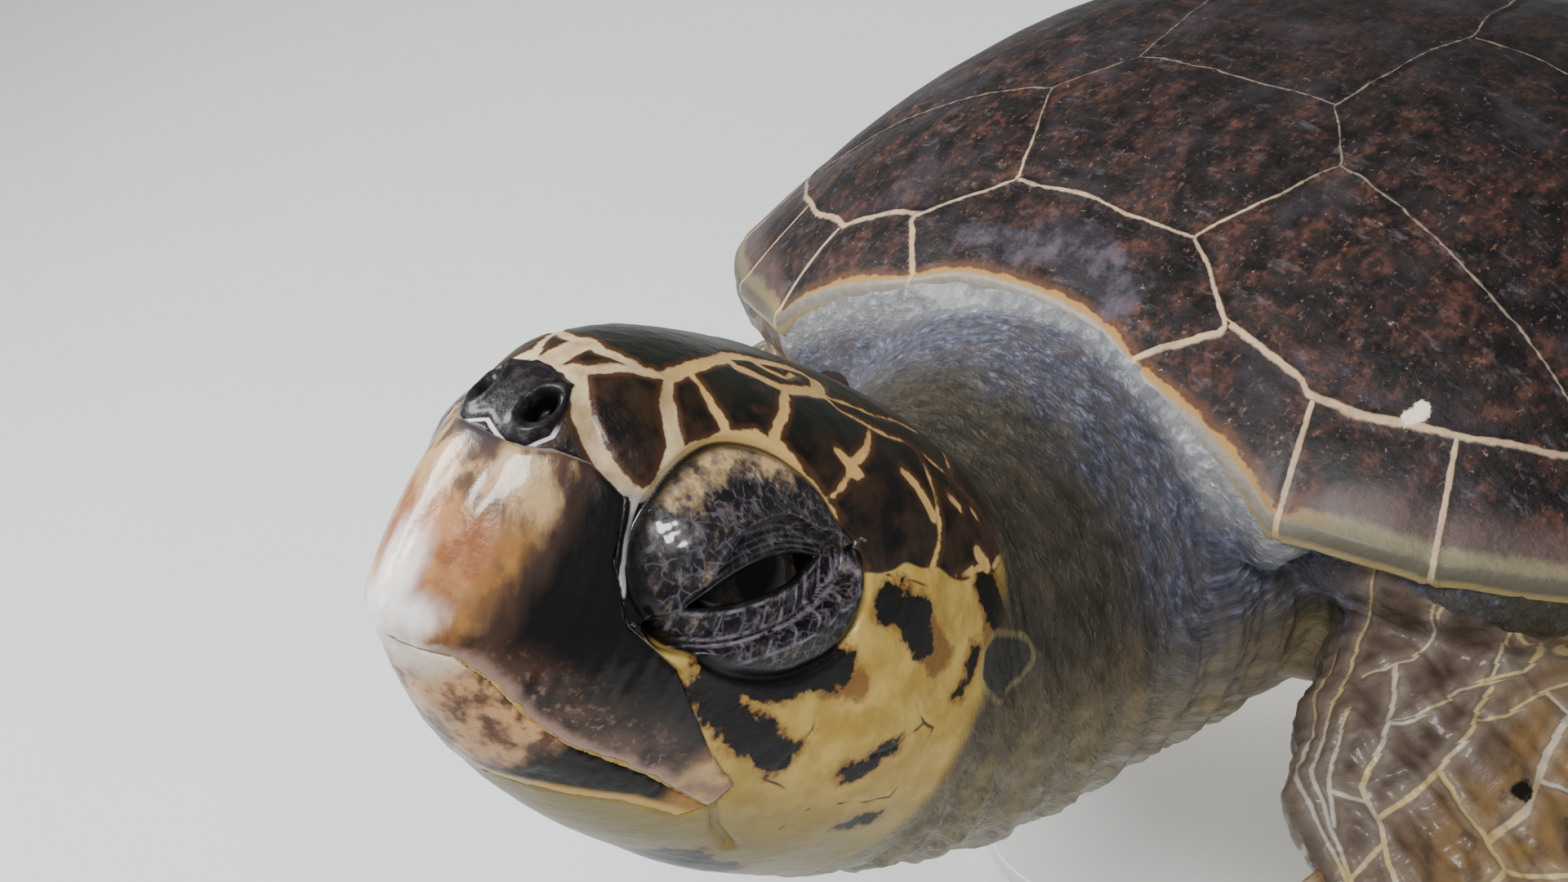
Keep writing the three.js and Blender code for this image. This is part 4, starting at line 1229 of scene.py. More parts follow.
def drawn_seams(flipper, points, along, wide):
    """mm to the seams near the shoulder."""
    flat = np.stack([along, wide], 1) + 1.5 * grains(points, 14, 6, 7)
    gaps = []
    for corners, width in shoulder_seams:
        at, over = np.array(corners).T
        reach = np.linalg.norm(flipper.sections(at)[1], axis=1)
        line = np.stack([flipper.travel(at), over * reach], 1)
        gaps.append(line_distance(flat, line) - width)
    return np.minimum.reduce(gaps)


def flipper_cells(flipper, points):
    """mm to the border between scales, a value for each scale, the flipper's share, and t."""
    t, across, through, distance = flipper.coordinates(points).T
    along = flipper.travel(t)
    wide = across * np.linalg.norm(flipper.sections(t)[1], axis=1)
    is_upper = through * flipper.side < 0
    columns = [along / CELL_SIZE, wide / (CELL_SHAPE * CELL_SIZE), np.where(is_upper, 0, 40)]
    columns = np.array(columns).T
    columns[:, :2] += 0.10 * grains(points, 16, 8, 9)
    border, value = nearest_cells(columns)
    if flipper in flippers[:2]:
        drawn = drawn_seams(flipper, points, along, wide)
        border = np.where(is_upper & (t < SHOULDER_END), drawn, border)
    reach = flipper.thickness(t) + mixed(32, 9, smooth(t, 0.2, 0.36))
    share = smooth(t, 0.03, 0.10) * (distance < reach)
    return border, value, share, t


# The black spot on the left fore flipper
DOT_AT = 0.42
DOT_RADIUS = 5


def head_fields(head):
    """Fields of the head's points, each with the value it has elsewhere."""
    eye = EyeView(head)
    mound = eye.near * (1 - smooth(eye.outside, -0.9, 0.3))
    brow = smooth(eye.away / eye.reach, 0.6, 0.82) * smooth(eye.angle, 28, 50)
    brow = brow * (1 - smooth(eye.angle, 112, 135)) * mound
    on_lid = mound > 0.01
    flat = head[:, 1:] + 1.8 * grains(head, 7, 20, 21)
    crown = head[:, 2] - crown_edge(head[:, 1])
    return {
        "seam": (seam_field(head), 30),
        "crack": (crack_field(head), 30),
        "crown": (crown + 1.5 * grain(head, 8, 22), -30),
        "rear": (smooth(head[:, 1] - 0.10 * head[:, 2], 176, 186), 1),
        "mound": (mound, 0),
        "lid_gap": (np.where(on_lid, eye.gap, 40), 40),
        "lid_lower": (np.where(eye.above, 0, mound), 0),
        "lid_rows": (np.where(on_lid, lid_rows(eye), 9), 9),
        "lid_edge": (np.where(eye.near > 0, eye.outside, 20), 20),
        "brow": (brow, 0),
        "blotch": (capsule_field(flat, blotches), -30),
        "halo": (capsule_field(flat, halos), -30),
        "nasal": (nasal_field(head), -30),
        # Where the nostril's hole is painted near black as shade
        "pit": (1 - smooth(nostril_field(head), 0.5, 1.05), 0),
    }


def neck_fields(points, q):
    """The scale behind the ear, the way from the shell's rim, and the loose skin's own space."""
    ear = np.full(len(q), -30.0)
    behind = np.flatnonzero((q[:, 1] > 150) & (q[:, 1] < 240) & (np.abs(q[:, 0]) > 30))
    ear[behind] = capsule_field(q[behind, 1:] + 1.5 * grain(q[behind], 9, 23)[:, None], EAR_SCALE)
    brink = shell_edge(np.linspace(-0.34, 0.34, 24))
    brink = np.column_stack([brink, shell_top(*brink.T) - 10])
    gap = np.full(len(q), 200.0)
    front = points[:, 1] < -60
    gap[front] = line_distance(points[front], brink)
    drape = np.column_stack([gap, 0.62 * points[:, 0], 0.62 * points[:, 2]]) * MM
    return {"ear": ear, "rim_gap": gap, "belly": smooth(-points[:, 2], 8, 62), "drape": drape}


def flipper_fields(points, is_head):
    """The scales of the flippers, the share of a flipper, and the colour along it."""
    plate = np.full(len(points), 30.0)
    value = np.full(len(points), 0.5)
    share = np.zeros(len(points))
    for flipper in flippers:
        near = np.flatnonzero(flipper.around(points, 45) & ~is_head)
        border, tone, part, _ = flipper_cells(flipper, points[near])
        keep = part > share[near]
        chosen = near[keep]
        plate[chosen] = border[keep]
        value[chosen] = tone[keep]
        share[chosen] = part[keep]
    off_neck = smooth(np.abs(points[:, 0] - 30), 108, 132) + smooth(points[:, 1], -150, -100)
    middle, _, _, back = (part[0] for part in flippers[0].sections(np.array([DOT_AT])))
    dot = middle - back * flippers[0].thickness(DOT_AT) * 0.62
    return {
        "flipper": share * np.clip(off_neck, 0, 1),
        "plate": plate,
        "value": value,
        "dot": DOT_RADIUS - np.linalg.norm(points - dot, axis=1),
        "amber": 0.5 * smooth(points[:, 0], 190, 240) - 0.1 + 0.1 * smooth(points[:, 1], 0, 100),
    }


def skin_fields(points, q, share):
    """Everything that the skin's material reads, by name."""
    is_head = share > 0
    fields = {
        "head": share,
        "up": q[:, 2],
        "low": smooth(-q[:, 2], 0, 50),
        "snout": 1 - smooth(q[:, 1], 44, 62),
    }
    for name, (values, elsewhere) in head_fields(q[is_head]).items():
        fields[name] = np.full(len(q), float(elsewhere))
        fields[name][is_head] = values
    fields.update(neck_fields(points, q))
    fields.update(flipper_fields(points, is_head))
    bare = share * (1 - fields["rear"]) + 0.8 * fields["flipper"]
    fields["skinless"] = np.clip(bare, 0, 1)
    return fields


# Screen colours of the skin
CREAM = (188, 154, 94)
BARK = (48, 33, 22)
BLACK = (14, 11, 10)
MOSS = (22, 28, 20)
GOLD = (150, 120, 50)
GOLD_PALE = (178, 150, 80)
UMBER = (84, 70, 62)
AMBER = (120, 93, 55)


def wrinkle_net(p):
    """1 on the ridges of the loose skin and 0 in its grooves. It sets the bumps, and the painted light and
    shade of the skin's colour.
    """
    ridges = p.step(p.noise(3.4, 6, 0.68, source="drape"), 0.34, 0.68)
    plates = p.step(p.cells(4.6, 1.3, "drape"), 0.0, 0.3)
    folds = p.calc("ABSOLUTE", p.less(p.noise(13, 4, 0.6, source="drape"), 0.5))
    net = p.times(ridges, p.blend(plates, 0.35, 1.0))
    return p.times(net, p.blend(p.step(folds, 0.0, 0.08), 0.45, 1.0))


def body_skin(p, medium, wide, net):
    """Pale and lavender grey at the shell's rim, olive brown on the neck, tan below, each with painted
    light on the wrinkles' ridges and painted shade in their grooves.
    """
    # Painted light and shade: lighter on the wrinkles' ridges, darker in their grooves
    lavender = p.mix(net, (52, 53, 64), (138, 140, 160))
    lavender = p.over(lavender, (84, 78, 76), medium, 0.4, 0.66, 0.6)
    pale = p.mix(net, (98, 98, 102), (176, 178, 174))
    olive = p.over((38, 37, 30), (60, 54, 44), medium, 0.35, 0.68)
    # Painted light on the wrinkles' ridges, on the olive
    olive = p.mix(p.times(net, 0.45), olive, (92, 84, 68))
    tan = p.over((88, 74, 52), (122, 106, 74), medium, 0.3, 0.7)
    # Painted light on the wrinkles' ridges, on the tan
    tan = p.mix(p.times(net, 0.4), tan, (136, 122, 94))
    belly = p.field("belly")
    side = p.mix(p.times(p.larger(p.field("low"), belly), 0.75), olive, tan)
    gap = p.field("rim_gap")
    uneven = p.sway(wide, 50)
    upper = p.over(lavender, pale, p.plus(gap, p.times(uneven, 0.2)), 16, 5)
    far = p.step(p.plus(gap, uneven), 30, 85)
    return p.mix(p.larger(far, p.times(belly, 0.8)), upper, side), side


def flipper_skin(p, medium, wide, wobble):
    """Grey brown to amber scales in thin cream seams, and one black spot."""
    plate = p.field("plate")
    shade = p.plus(p.times(p.field("value"), 0.25), p.times(wide, 0.5))
    blade = p.over(UMBER, AMBER, p.plus(shade, p.field("amber")), 0.35, 0.95)
    blade = p.over(blade, (60, 48, 40), medium, 0.48, 0.66, 0.7)
    blade = p.over(blade, (140, 128, 112), plate, 6, 0.5, 0.35)
    seam = p.over((164, 158, 146), (176, 154, 104), wide, 0.4, 0.6)
    blade = p.over(seam, blade, p.plus(plate, p.times(wobble, 0.5)), -0.3, 0.35)
    return p.over(blade, (18, 14, 12), p.plus(p.field("dot"), p.sway(medium, 9)), -0.5, 0.7)


def crown_skin(p, medium, wobble):
    """Near black, brown and moss green scales in cream seams."""
    crown = p.over(BLACK, BARK, medium, 0.38, 0.66)
    crown = p.over(crown, MOSS, p.field("up"), 74, 92, p.blend(medium, 0.6, 1.0))
    ragged = p.plus(wobble, p.sway(medium, 3))
    near = p.plus(p.plus(p.field("seam"), wobble), p.times(ragged, 0.5))
    crown = p.over(crown, (66, 42, 25), near, 2.6, 0.2)
    seam = p.over(CREAM, (180, 132, 76), medium, 0.45, 0.8)
    dusty = p.over((142, 118, 84), (192, 172, 136), medium, 0.3, 0.7)
    seam = p.mix(p.field("snout"), seam, dusty)
    return p.over(seam, crown, near, -0.35, 0.4)


def cheek_skin(p, medium, fine):
    """Golden, darker olive towards the bottom as painted shade, with thin dark cracks and ragged black
    blotches with brown edges.
    """
    cheek = p.over(GOLD, GOLD_PALE, medium, 0.3, 0.7)
    # Painted shade: darker olive low on the cheek
    cheek = p.mix(p.times(p.field("low"), 0.9), cheek, (98, 88, 50))
    cheek = p.over((70, 48, 26), cheek, p.field("crack"), 0.2, 0.75)
    ragged = p.plus(p.sway(medium, 9), p.sway(fine, 7))
    blot = p.plus(p.field("blotch"), ragged)
    halo = p.larger(blot, p.plus(p.field("halo"), ragged))
    cheek = p.over(cheek, (104, 66, 28), halo, -3.2, 0.6, 0.85)
    return p.over(cheek, BLACK, blot, -0.7, 0.7)


def lid_skin(p, medium, fine, wobble):
    """Glossy purplish black lids with pale scale outlines, under a mottled brow, with painted shade: near
    black at the opening and round the mound's rim.
    """
    strand = p.noise(2.6, 5, 0.65, stretch=(0.5, 1, 0.5))
    hair = p.step(p.noise(4.2, 6, 0.75, stretch=(0.7, 1, 0.4)), 0.56, 0.66)
    net = p.times(p.step(p.cells(5.6, 1.1), 0.09, 0.015), 0.3)
    rows = p.times(p.step(p.plus(p.field("lid_rows"), wobble), 0.9, 0.2), 0.85)
    outline = p.times(p.larger(net, rows), p.step(fine, 0.34, 0.6))
    lid = p.over((13, 11, 14), (44, 38, 43), strand, 0.42, 0.7)
    lid = p.mix(outline, lid, (116, 110, 120))
    lid = p.mix(p.times(hair, 0.45), lid, (118, 110, 112))
    brow = p.over((178, 148, 102), (62, 50, 46), medium, 0.46, 0.6)
    brow = p.over(brow, (112, 96, 82), fine, 0.46, 0.62, 0.8)
    brow = p.mix(p.times(hair, 0.6), brow, (196, 178, 148))
    lid = p.over(lid, brow, p.plus(p.field("brow"), p.sway(strand, 1.8)), 0.0, 0.95)
    # Painted shade: the lids' edges at the opening and the skin inside it go near black
    lid = p.over((9, 7, 8), lid, p.plus(p.field("lid_gap"), wobble), 0.4, 1.8)
    # Painted shade: a near black band round the rim of the mound of lids
    return p.over(lid, (11, 9, 10), p.field("lid_edge"), -4.5, -1.5)


def nasal_skin(p, head, fine, wobble):
    """The dark nasal scale with its white lower edge, and the nostril with its hole painted near black as
    shade.
    """
    nasal = p.plus(p.field("nasal"), p.times(wobble, 0.3))
    nose = p.over((16, 13, 14), (40, 35, 39), fine, 0.45, 0.7)
    head = p.over(head, (190, 186, 190), nasal, -0.9, -0.5, p.step(p.field("up"), 64, 60))
    head = p.over(head, nose, nasal, 0.1, 0.5)
    # Painted shade: the nostril's hole is near black
    return p.mix(p.field("pit"), head, (5, 4, 4))


def head_skin(p, side, medium, fine, wobble):
    """Crown, cheek, lids and nose, running into the side of the neck behind."""
    head = p.over(
        cheek_skin(p, medium, fine), crown_skin(p, medium, wobble), p.field("crown"), -0.5, 0.5
    )
    head = p.mix(p.field("rear"), head, side)
    # Painted shade: a black band in the groove between the lids and the beak, with a pale line (a seam) in
    # it
    front = p.times(p.step(p.field("snout"), 0.02, 0.4), p.step(p.field("up"), 56, 50))
    head = p.over(head, BLACK, p.field("lid_edge"), 8, 6.5, front)
    head = p.over(head, (150, 146, 146), p.field("seam"), 0.25, -0.25, front)
    head = p.mix(p.field("mound"), head, lid_skin(p, medium, fine, wobble))
    return nasal_skin(p, head, fine, wobble)


def skin_material():
    p = Paint("turtle_skin", Coat_Roughness=0.1, Specular_IOR_Level=0.2)
    wide = p.noise(38, 4)
    medium = p.noise(11, 5)
    fine = p.noise(3.2, 4)
    wobble = p.sway(fine, 1.3)
    net = wrinkle_net(p)
    body, side = body_skin(p, medium, wide, net)
    base = p.mix(p.field("flipper"), body, flipper_skin(p, medium, wide, wobble))
    base = p.mix(p.field("head"), base, head_skin(p, side, medium, fine, wobble))
    ear = p.plus(p.field("ear"), wobble)
    base = p.over(base, (128, 116, 78), ear, -3.2, -1.8, 0.45)
    base = p.over(base, (46, 45, 42), ear, -1.0, 0.4)
    mound = p.field("mound")
    loose = p.times(net, p.less(1.0, p.field("skinless")))
    grit = p.times(fine, p.blend(mound, 1.0, 0.35))
    normal = p.relief((loose, 1.1), (grit, 0.4), (p.noise(1.1, 3), 0.06))
    wet = p.less(mound, p.field("lid_lower"))
    p.put(p.shader.inputs["Coat Weight"], p.blend(wet, 0.1, 0.6))
    return p.finish(base, p.blend(medium, 0.3, 0.52), normal)


def make_skin():
    mesh = skin_details(flesh())
    nodes = ["trunk", "neck", "head", "tail"] + [flipper.name for flipper in flippers]
    add_piece("skin", mesh, "skin", skin_material(), *nodes)


# ---------------------------------------------------------------- beaks


def beak_mesh(name, border, proud):
    """The part of the head inside a beak's outline, with rounded edges, in head units."""
    head = object_of("head_form", mesh_of("head_form", *head_loft(120, 160, 150)))
    outline = np.array(mouth_line + border, float)
    rings = [np.column_stack([np.full(len(outline), x), outline]) for x in (-90, 90)]
    cutter = object_of("cutter", mesh_of("cutter", *prism(rings)))
    cut = head.modifiers.new("cut", "BOOLEAN")
    cut.operation = "INTERSECT"
    cut.solver = "EXACT"
    cut.object = cutter
    mesh = evaluated(head)
    bpy.data.objects.remove(head)
    bpy.data.objects.remove(cutter)
    mesh = remeshed(name, mesh, 1.0)
    points = points_of(mesh)
    points = relaxed(mesh, points, np.ones(len(points)), 10)
    slope = head_slope(points)
    depth = head_depth(points)
    outer = smooth(depth, -1.6, -0.4)
    inside = beak_depth(points, border)
    height = proud * smooth(inside, 0.0, 1.8) * outer
    streak = grain(np.stack([points[:, 0], points[:, 1], points[:, 2] / 7], 1), 2.6, 2)
    height += 0.18 * streak * outer + 0.35 * layered(points, 16) * outer
    near_mouth = bulge(line_distance(points[:, 1:], mouth_line), 2)
    height -= 0.8 * smooth(grain(points, 3.5, 6), 0.2, 0.6) * near_mouth * outer
    set_points(mesh, points + unit(slope) * height[:, None])
    return mesh


def prism(rings):
    """A closed body between two equal outlines, with flat ends."""
    count = len(rings[0])
    points = np.concatenate(rings)
    edit = bmesh.new()
    verts = [edit.verts.new(p) for p in points]
    edit.faces.new(verts[:count])
    edit.faces.new(reversed(verts[count:]))
    for k in range(count):
        n = (k + 1) % count
        edit.faces.new((verts[k], verts[count + k], verts[count + n], verts[n]))
    bmesh.ops.recalc_face_normals(edit, faces=edit.faces)
    bmesh.ops.triangulate(edit, faces=edit.faces)
    edit.verts.index_update()
    faces = [[v.index for v in f.verts] for f in edit.faces]
    edit.free()
    return points, np.array(faces)


def upper_horn(p, streak, medium, fine, band):
    """Ivory tip, orange and tan flanks, black and brown towards the eye and the corner."""
    up = p.field("up")
    side = p.field("side")
    mottle = p.step(medium, 0.38, 0.64)
    base = p.mix(mottle, (138, 86, 50), (164, 116, 72))
    base = p.over(base, (186, 148, 102), streak, 0.54, 0.7, 0.8)
    gold = p.mix(mottle, (150, 106, 52), (104, 72, 42))
    base = p.over(base, gold, band, 6, 12)
    high = p.over((176, 144, 100), (88, 66, 50), streak, 0.4, 0.6)
    base = p.over(base, high, up, 30, 42)
    base = p.over(base, (58, 50, 52), up, 47, 54, p.step(side, 13, 7))
    ivory = p.over((228, 222, 220), (208, 188, 168), streak, 0.4, 0.7)
    tip = p.times(p.step(side, 10, 4), p.step(up, 32, 16))
    lower_tip = p.times(p.step(band, 10, 4), p.step(up, 14, 4))
    base = p.mix(p.larger(tip, lower_tip), base, ivory)
    base = p.over(base, (52, 38, 31), band, 11.5, 17)
    base = p.over(base, (14, 11, 11), band, 16, 22)
    brown = p.mix(mottle, (78, 54, 41), (36, 26, 22))
    brown = p.over(brown, (108, 82, 66), fine, 0.54, 0.68)
    low = p.step(p.plus(up, p.times(p.field("back"), 0.22)), 17, -2)
    base = p.over(base, brown, band, 8, 17, low)
    rim = p.plus(p.field("rim"), p.sway(medium, 6))
    base = p.over(base, p.over(ivory, (138, 108, 94), band, 8, 14), rim, 5.0, 0.6)
    corner = p.over((126, 94, 70), (164, 132, 90), medium, 0.4, 0.6)
    base = p.over(base, corner, band, 82, 92)
    return p.over(base, (120, 110, 98), p.field("border"), 0.9, 0.3)


def lower_horn(p, medium, fine, band):
    """Cream and brown mottled, black towards the corner."""
    mottle = p.over((178, 138, 96), (86, 60, 46), medium, 0.42, 0.6)
    mottle = p.over(mottle, (138, 98, 70), fine, 0.56, 0.68)
    base = p.over((212, 198, 180), mottle, p.field("back"), 12, 22)
    base = p.over(base, (22, 17, 16), band, 46, 54)
    base = p.over(base, (140, 100, 50), band, 84, 92)
    return p.over(base, (180, 140, 72), p.field("border"), 4.5, 1.8)


def horn_material(is_upper):
    gloss = 0.26 if is_upper else 0.12
    p = Paint("beak_horn", Coat_Weight=gloss, Coat_Roughness=0.1, Specular_IOR_Level=gloss)
    streak = p.noise(8, 5, stretch=(1, 1, 0.3))
    medium = p.noise(9, 5)
    fine = p.noise(2.6, 4)
    band = p.plus(p.field("back"), p.plus(p.sway(streak, 9), p.sway(fine, 1)))
    if is_upper:
        base = upper_horn(p, streak, medium, fine, band)
    else:
        base = lower_horn(p, medium, fine, band)
    return p.finish(base, p.blend(medium, 0.2, 0.4), p.relief((fine, 0.22), (streak, 0.35)))


def make_beak(name, border, proud, is_upper):
    mesh = beak_mesh(name, border, proud)
    q = points_of(mesh)
    flat = q[:, 1:]
    lean = 0.2 if is_upper else 0
    set_fields(
        mesh,
        back=q[:, 1] - lean * q[:, 2],
        side=np.abs(q[:, 0]),
        up=q[:, 2],
        rim=line_distance(flat, mouth_line),
        border=line_distance(flat, border),
    )
    set_points(mesh, head_to_body(q))
    add_piece(name, mesh, "horn", horn_material(is_upper), name)


# ---------------------------------------------------------------- eyes


def eye_material():
    p = Paint("eye", Coat_Weight=0.2, Coat_Roughness=0.03, Roughness=0.2, Specular_IOR_Level=0.15)
    streak = p.noise(1.2, 4)
    off_axis = p.field("off_axis")
    iris = p.over((12, 10, 8), (28, 23, 15), streak, 0.35, 0.7)
    base = p.over((2, 2, 2), iris, off_axis, 7.5, 8.6)
    base = p.over(base, (6, 5, 5), off_axis, 14.0, 15.5)
    return p.finish(base, None, p.relief((streak, 0.02)))


def make_eye(name, side, material):
    """A ball with a slightly raised cornea over the iris."""
    points, faces = ellipsoid(np.zeros(3), np.ones(3), 96)
    axis = EYE_OUT * [side, 1, 1]
    cosine = points @ axis
    off_axis = BALL_RADIUS * np.sqrt(np.maximum(1 - cosine**2, 0))
    raised = 0.7 * (1 - smooth(off_axis, 0, 12)) * (cosine > 0)
    centre = (EYE_CENTRE - BALL_SINK * EYE_OUT) * [side, 1, 1]
    mesh = mesh_of(name, head_to_body(centre + points * (BALL_RADIUS + raised)[:, None]), faces)
    set_fields(mesh, off_axis=np.where(cosine > 0, off_axis, 30))
    add_piece(name, mesh, "eye", material, name)


# ---------------------------------------------------------------- claws


def claw_material():
    p = Paint("claw_horn", Coat_Weight=0.5, Coat_Roughness=0.12)
    streak = p.noise(3, 4)
    base = p.mix(p.field("tip"), (108, 80, 54), (214, 196, 158))
    base = p.over(base, (70, 50, 34), streak, 0.45, 0.7, 0.5)
    return p.finish(base, p.blend(streak, 0.2, 0.4), p.relief((streak, 0.15)))


def make_claw(number, flipper, at, length, material):
    """A short curved cone of horn set into the leading edge."""
    middle, half, run, back = (part[0] for part in flippers[flipper].sections(np.array([at])))
    lead = unit(half)
    root = middle + half - lead * 0.6 * length
    t = np.linspace(0, 1, 20)[:, None]
    angle = circle(24)[None, :]
    radius = 0.17 * length * (1 - t) ** 0.6 + 0.35
    centre = root + lead * (1.15 * length * t) + run * (0.3 * length * t * t)
    ring = centre[:, None, :] + run * (radius * np.cos(angle))[..., None]
    ring = ring + back * (0.7 * radius * np.sin(angle))[..., None]
    points, faces = loft(ring)
    name = f"claw_{number}"
    mesh = mesh_of(name, points, faces)
    set_fields(mesh, tip=smooth((points - root) @ lead / length, 0.5, 1.1))
    add_piece(name, mesh, "claw", material, name)


# ---------------------------------------------------------------- carapace

# Half width of the middle row of scutes, nuchal plate included, along the back
row_back = [-360, -343, -320, -297, -246, -220, -143, -72, 0, 70, 138, 200, 262, 318, 360]
row_half = [57, 57, 83, 46, 75, 50, 62, 46, 59, 43, 54, 36, 60, 46, 46]
VERTEBRAL_SEAMS = [-297, -219, -73, 71, 200]
# Costal seams run from a corner of the middle row to the marginals: (x, y) to (x, y)
costal_seams = [((74, -246), (204, -258)), ((61, -143), (262, -118)), ((59, 0), (272, 30))]
costal_seams += [((54, 138), (215, 180))]
MARGINAL_STARTS = [0, 78, 134, 208, 288, 368, 448, 528, 606, 680, 752, 820, 884]
# Rounded edge of the shell below its top, as (outwards, down)
RIM_ROUNDING = [(1.4, -1.2), (2.2, -3.4), (2.0, -6.8), (0.4, -10.2), (-3.5, -12.2)]
UNDERSIDE_SHARES = (0.94, 0.88, 0.8, 0.65, 0.5, 0.35, 0.2, 0.1)
# Rows of the rounded edge that still have the colours of the top
RIM_ROWS_SEEN = 3
# Where old horn peels off at the front, and a pale scar on the left of it
PEEL_PATCH = [(-50, -326, -18, -322, 3), (-18, -322, 6, -316, 6), (6, -316, 38, -326, 8)]
SCAR_SPOT = [(155, -302, 158, -297, 2.6)]


def disc_grid(count):
    """A square grid drawn out to a disc: angle from the front, radius, quads and border."""
    side = np.linspace(-1, 1, count)
    a, b = (part.ravel() for part in np.meshgrid(side, side))
    x = a * np.sqrt(1 - b * b / 2)
    y = b * np.sqrt(1 - a * a / 2)
    number = np.arange(count * count).reshape(count, count)
    corners = (number[:-1, :-1], number[:-1, 1:], number[1:, 1:], number[1:, :-1])
    quads = np.stack([corner.ravel() for corner in corners], 1)
    border = [number[0], number[1:, -1], number[-1, -2::-1], number[-2:0:-1, 0]]
    return np.arctan2(x, -y), np.hypot(x, y), quads, np.concatenate(border)


def marginal_width(y):
    return np.interp(y, [-345, -300, -200, 0, 200, 320, 360], [24, 27, 34, 46, 50, 44, 38])


def parity(value, numbers):
    """Signed distance to the nearest of several numbers, with signs that never jump."""
    marks = np.array(numbers, float)
    nearest = np.abs(value[:, None] - marks).argmin(1)
    return (value - marks[nearest]) * np.where(nearest % 2, -1, 1)


def rim_travel(angle):
    """mm along the shell's edge from the corner of the nuchal plate, at each angle."""
    turns = np.linspace(0, math.pi, 1200)
    edge = shell_edge(turns)
    steps = np.linalg.norm(np.diff(edge, axis=0), axis=1)
    travel = np.concatenate([[0], np.cumsum(steps)])
    start = np.interp(row_half[0], edge[:200, 0], travel[:200])
    return np.interp(np.abs(angle), turns, travel) - start


def shell_seams(x, y, angle, inward):
    """Three signed fields, mm, whose zero lines are the seams between the scutes."""
    half = np.interp(y, row_back, row_half)
    slope = np.interp(y + 2, row_back, row_half) - np.interp(y - 2, row_back, row_half)
    row = (np.abs(x) - half) / np.sqrt(1 + (slope / 4) ** 2)
    ring = marginal_width(y) - inward
    in_row = row < 0
    far_row = (y > 0) & (ring > 0)
    row_field = np.where(far_row, np.where(in_row, -30, 30), row)
    ring_field = np.where(in_row & (y < 0), -30, ring)
    gaps = []
    for (ax, ay), (bx, by) in costal_seams:
        run = unit(np.array([bx - ax, by - ay], float))
        gaps.append((y - ay) * run[0] - (np.abs(x) - ax) * run[1])
    gaps = np.stack(gaps, 1)
    nearest = np.abs(gaps).argmin(1)
    costal = gaps[np.arange(len(x)), nearest] * np.where(nearest % 2, -1, 1)
    between = np.where(in_row, parity(y, VERTEBRAL_SEAMS), costal)
    marginal = parity(rim_travel(angle), MARGINAL_STARTS)
    between = np.where((ring > 0) & ~(in_row & (y < 0)), marginal, between)
    return row_field, ring_field, between


def inward_share(angle):
    """Turns a distance along the spoke into one square to the edge."""
    step = 0.01
    run = unit(shell_edge(angle + step) - shell_edge(angle - step))
    spoke = unit(shell_edge(angle))
    return run[:, 0] * spoke[:, 1] - run[:, 1] * spoke[:, 0]


# Relief of the carapace, mm: how far the scutes rise from their seams, the ridge along the
# middle of a seam, the growth rings and the general unevenness
SCUTE_RISE = 1.2
SEAM_RIDGE = 0.5
RING_RISE = 0.22
RING_SPACING = 7.5
SHELL_ROUGHNESS = 0.7
# The rear marginals: how far their seams are drawn in, and how wide the notch is
NOTCH_SHARE = 0.016
NOTCH_WIDTH = 26


def serration(angle):
    """The rear marginals end in low points."""
    along = rim_travel(angle)
    gap = np.abs(along[:, None] - np.array(MARGINAL_STARTS, float)).min(1)
    strength = NOTCH_SHARE * smooth(along, 420, 640)
    return 1 - strength * (1 - smooth(gap, 0, NOTCH_WIDTH))


def carapace_top(angle, u):
    """The top of the plate: its points, the three seam fields and the mm in from its edge."""
    edge = shell_edge(angle)
    x, y = edge[:, 0] * u, edge[:, 1] * u
    z = shell_top(x, y)
    inward = np.linalg.norm(edge, axis=1) * (1 - u) * np.abs(inward_share(angle))
    plain = np.stack([x, y, z], 1)
    x_bent = x + 1.6 * grain(plain, 26, 31) + 0.7 * grain(plain, 9, 32)
    y_bent = y + 1.6 * grain(plain, 26, 33) + 0.7 * grain(plain, 9, 34)
    fields = list(shell_seams(x_bent, y_bent, angle, inward + 1.2 * grain(plain, 20, 35)))
    gap = np.minimum.reduce([np.abs(f) for f in fields])
    z = z + SCUTE_RISE * (smooth(gap, 1.5, 16) - 0.5)
    z = z + SEAM_RIDGE * bulge(gap, 1.2) - SEAM_RIDGE * bulge(gap - 2.8, 1.2)
    ripple = np.abs(((gap + 2.5 * grain(plain, 30, 36)) / RING_SPACING) % 1 - 0.5)
    z = z + RING_RISE * (ripple - 0.25) * smooth(gap, 4, 8)
    z = z + SHELL_ROUGHNESS * layered(plain, 24, 3, 37)
    notch = serration(angle)
    return np.stack([x * notch, y * notch, z], 1), fields + [inward]


def carapace_rows(edge):
    """Rows of points from the edge of the top, round the rim and in along the underside."""
    x, y, z = edge.T
    out = unit(edge[:, :2])
    rows = []
    for spread, drop in RIM_ROUNDING:
        rows.append(np.stack([x + out[:, 0] * spread, y + out[:, 1] * spread, z + drop], 1))
    for share in UNDERSIDE_SHARES:
        inner = shell_top(x * share, y * share) - SHELL_THICKNESS
        depth = mixed(np.minimum(inner, z - 12.6), inner, smooth(share, 0.9, 0.8))
        rows.append(np.stack([x * share, y * share, depth], 1))
    return rows


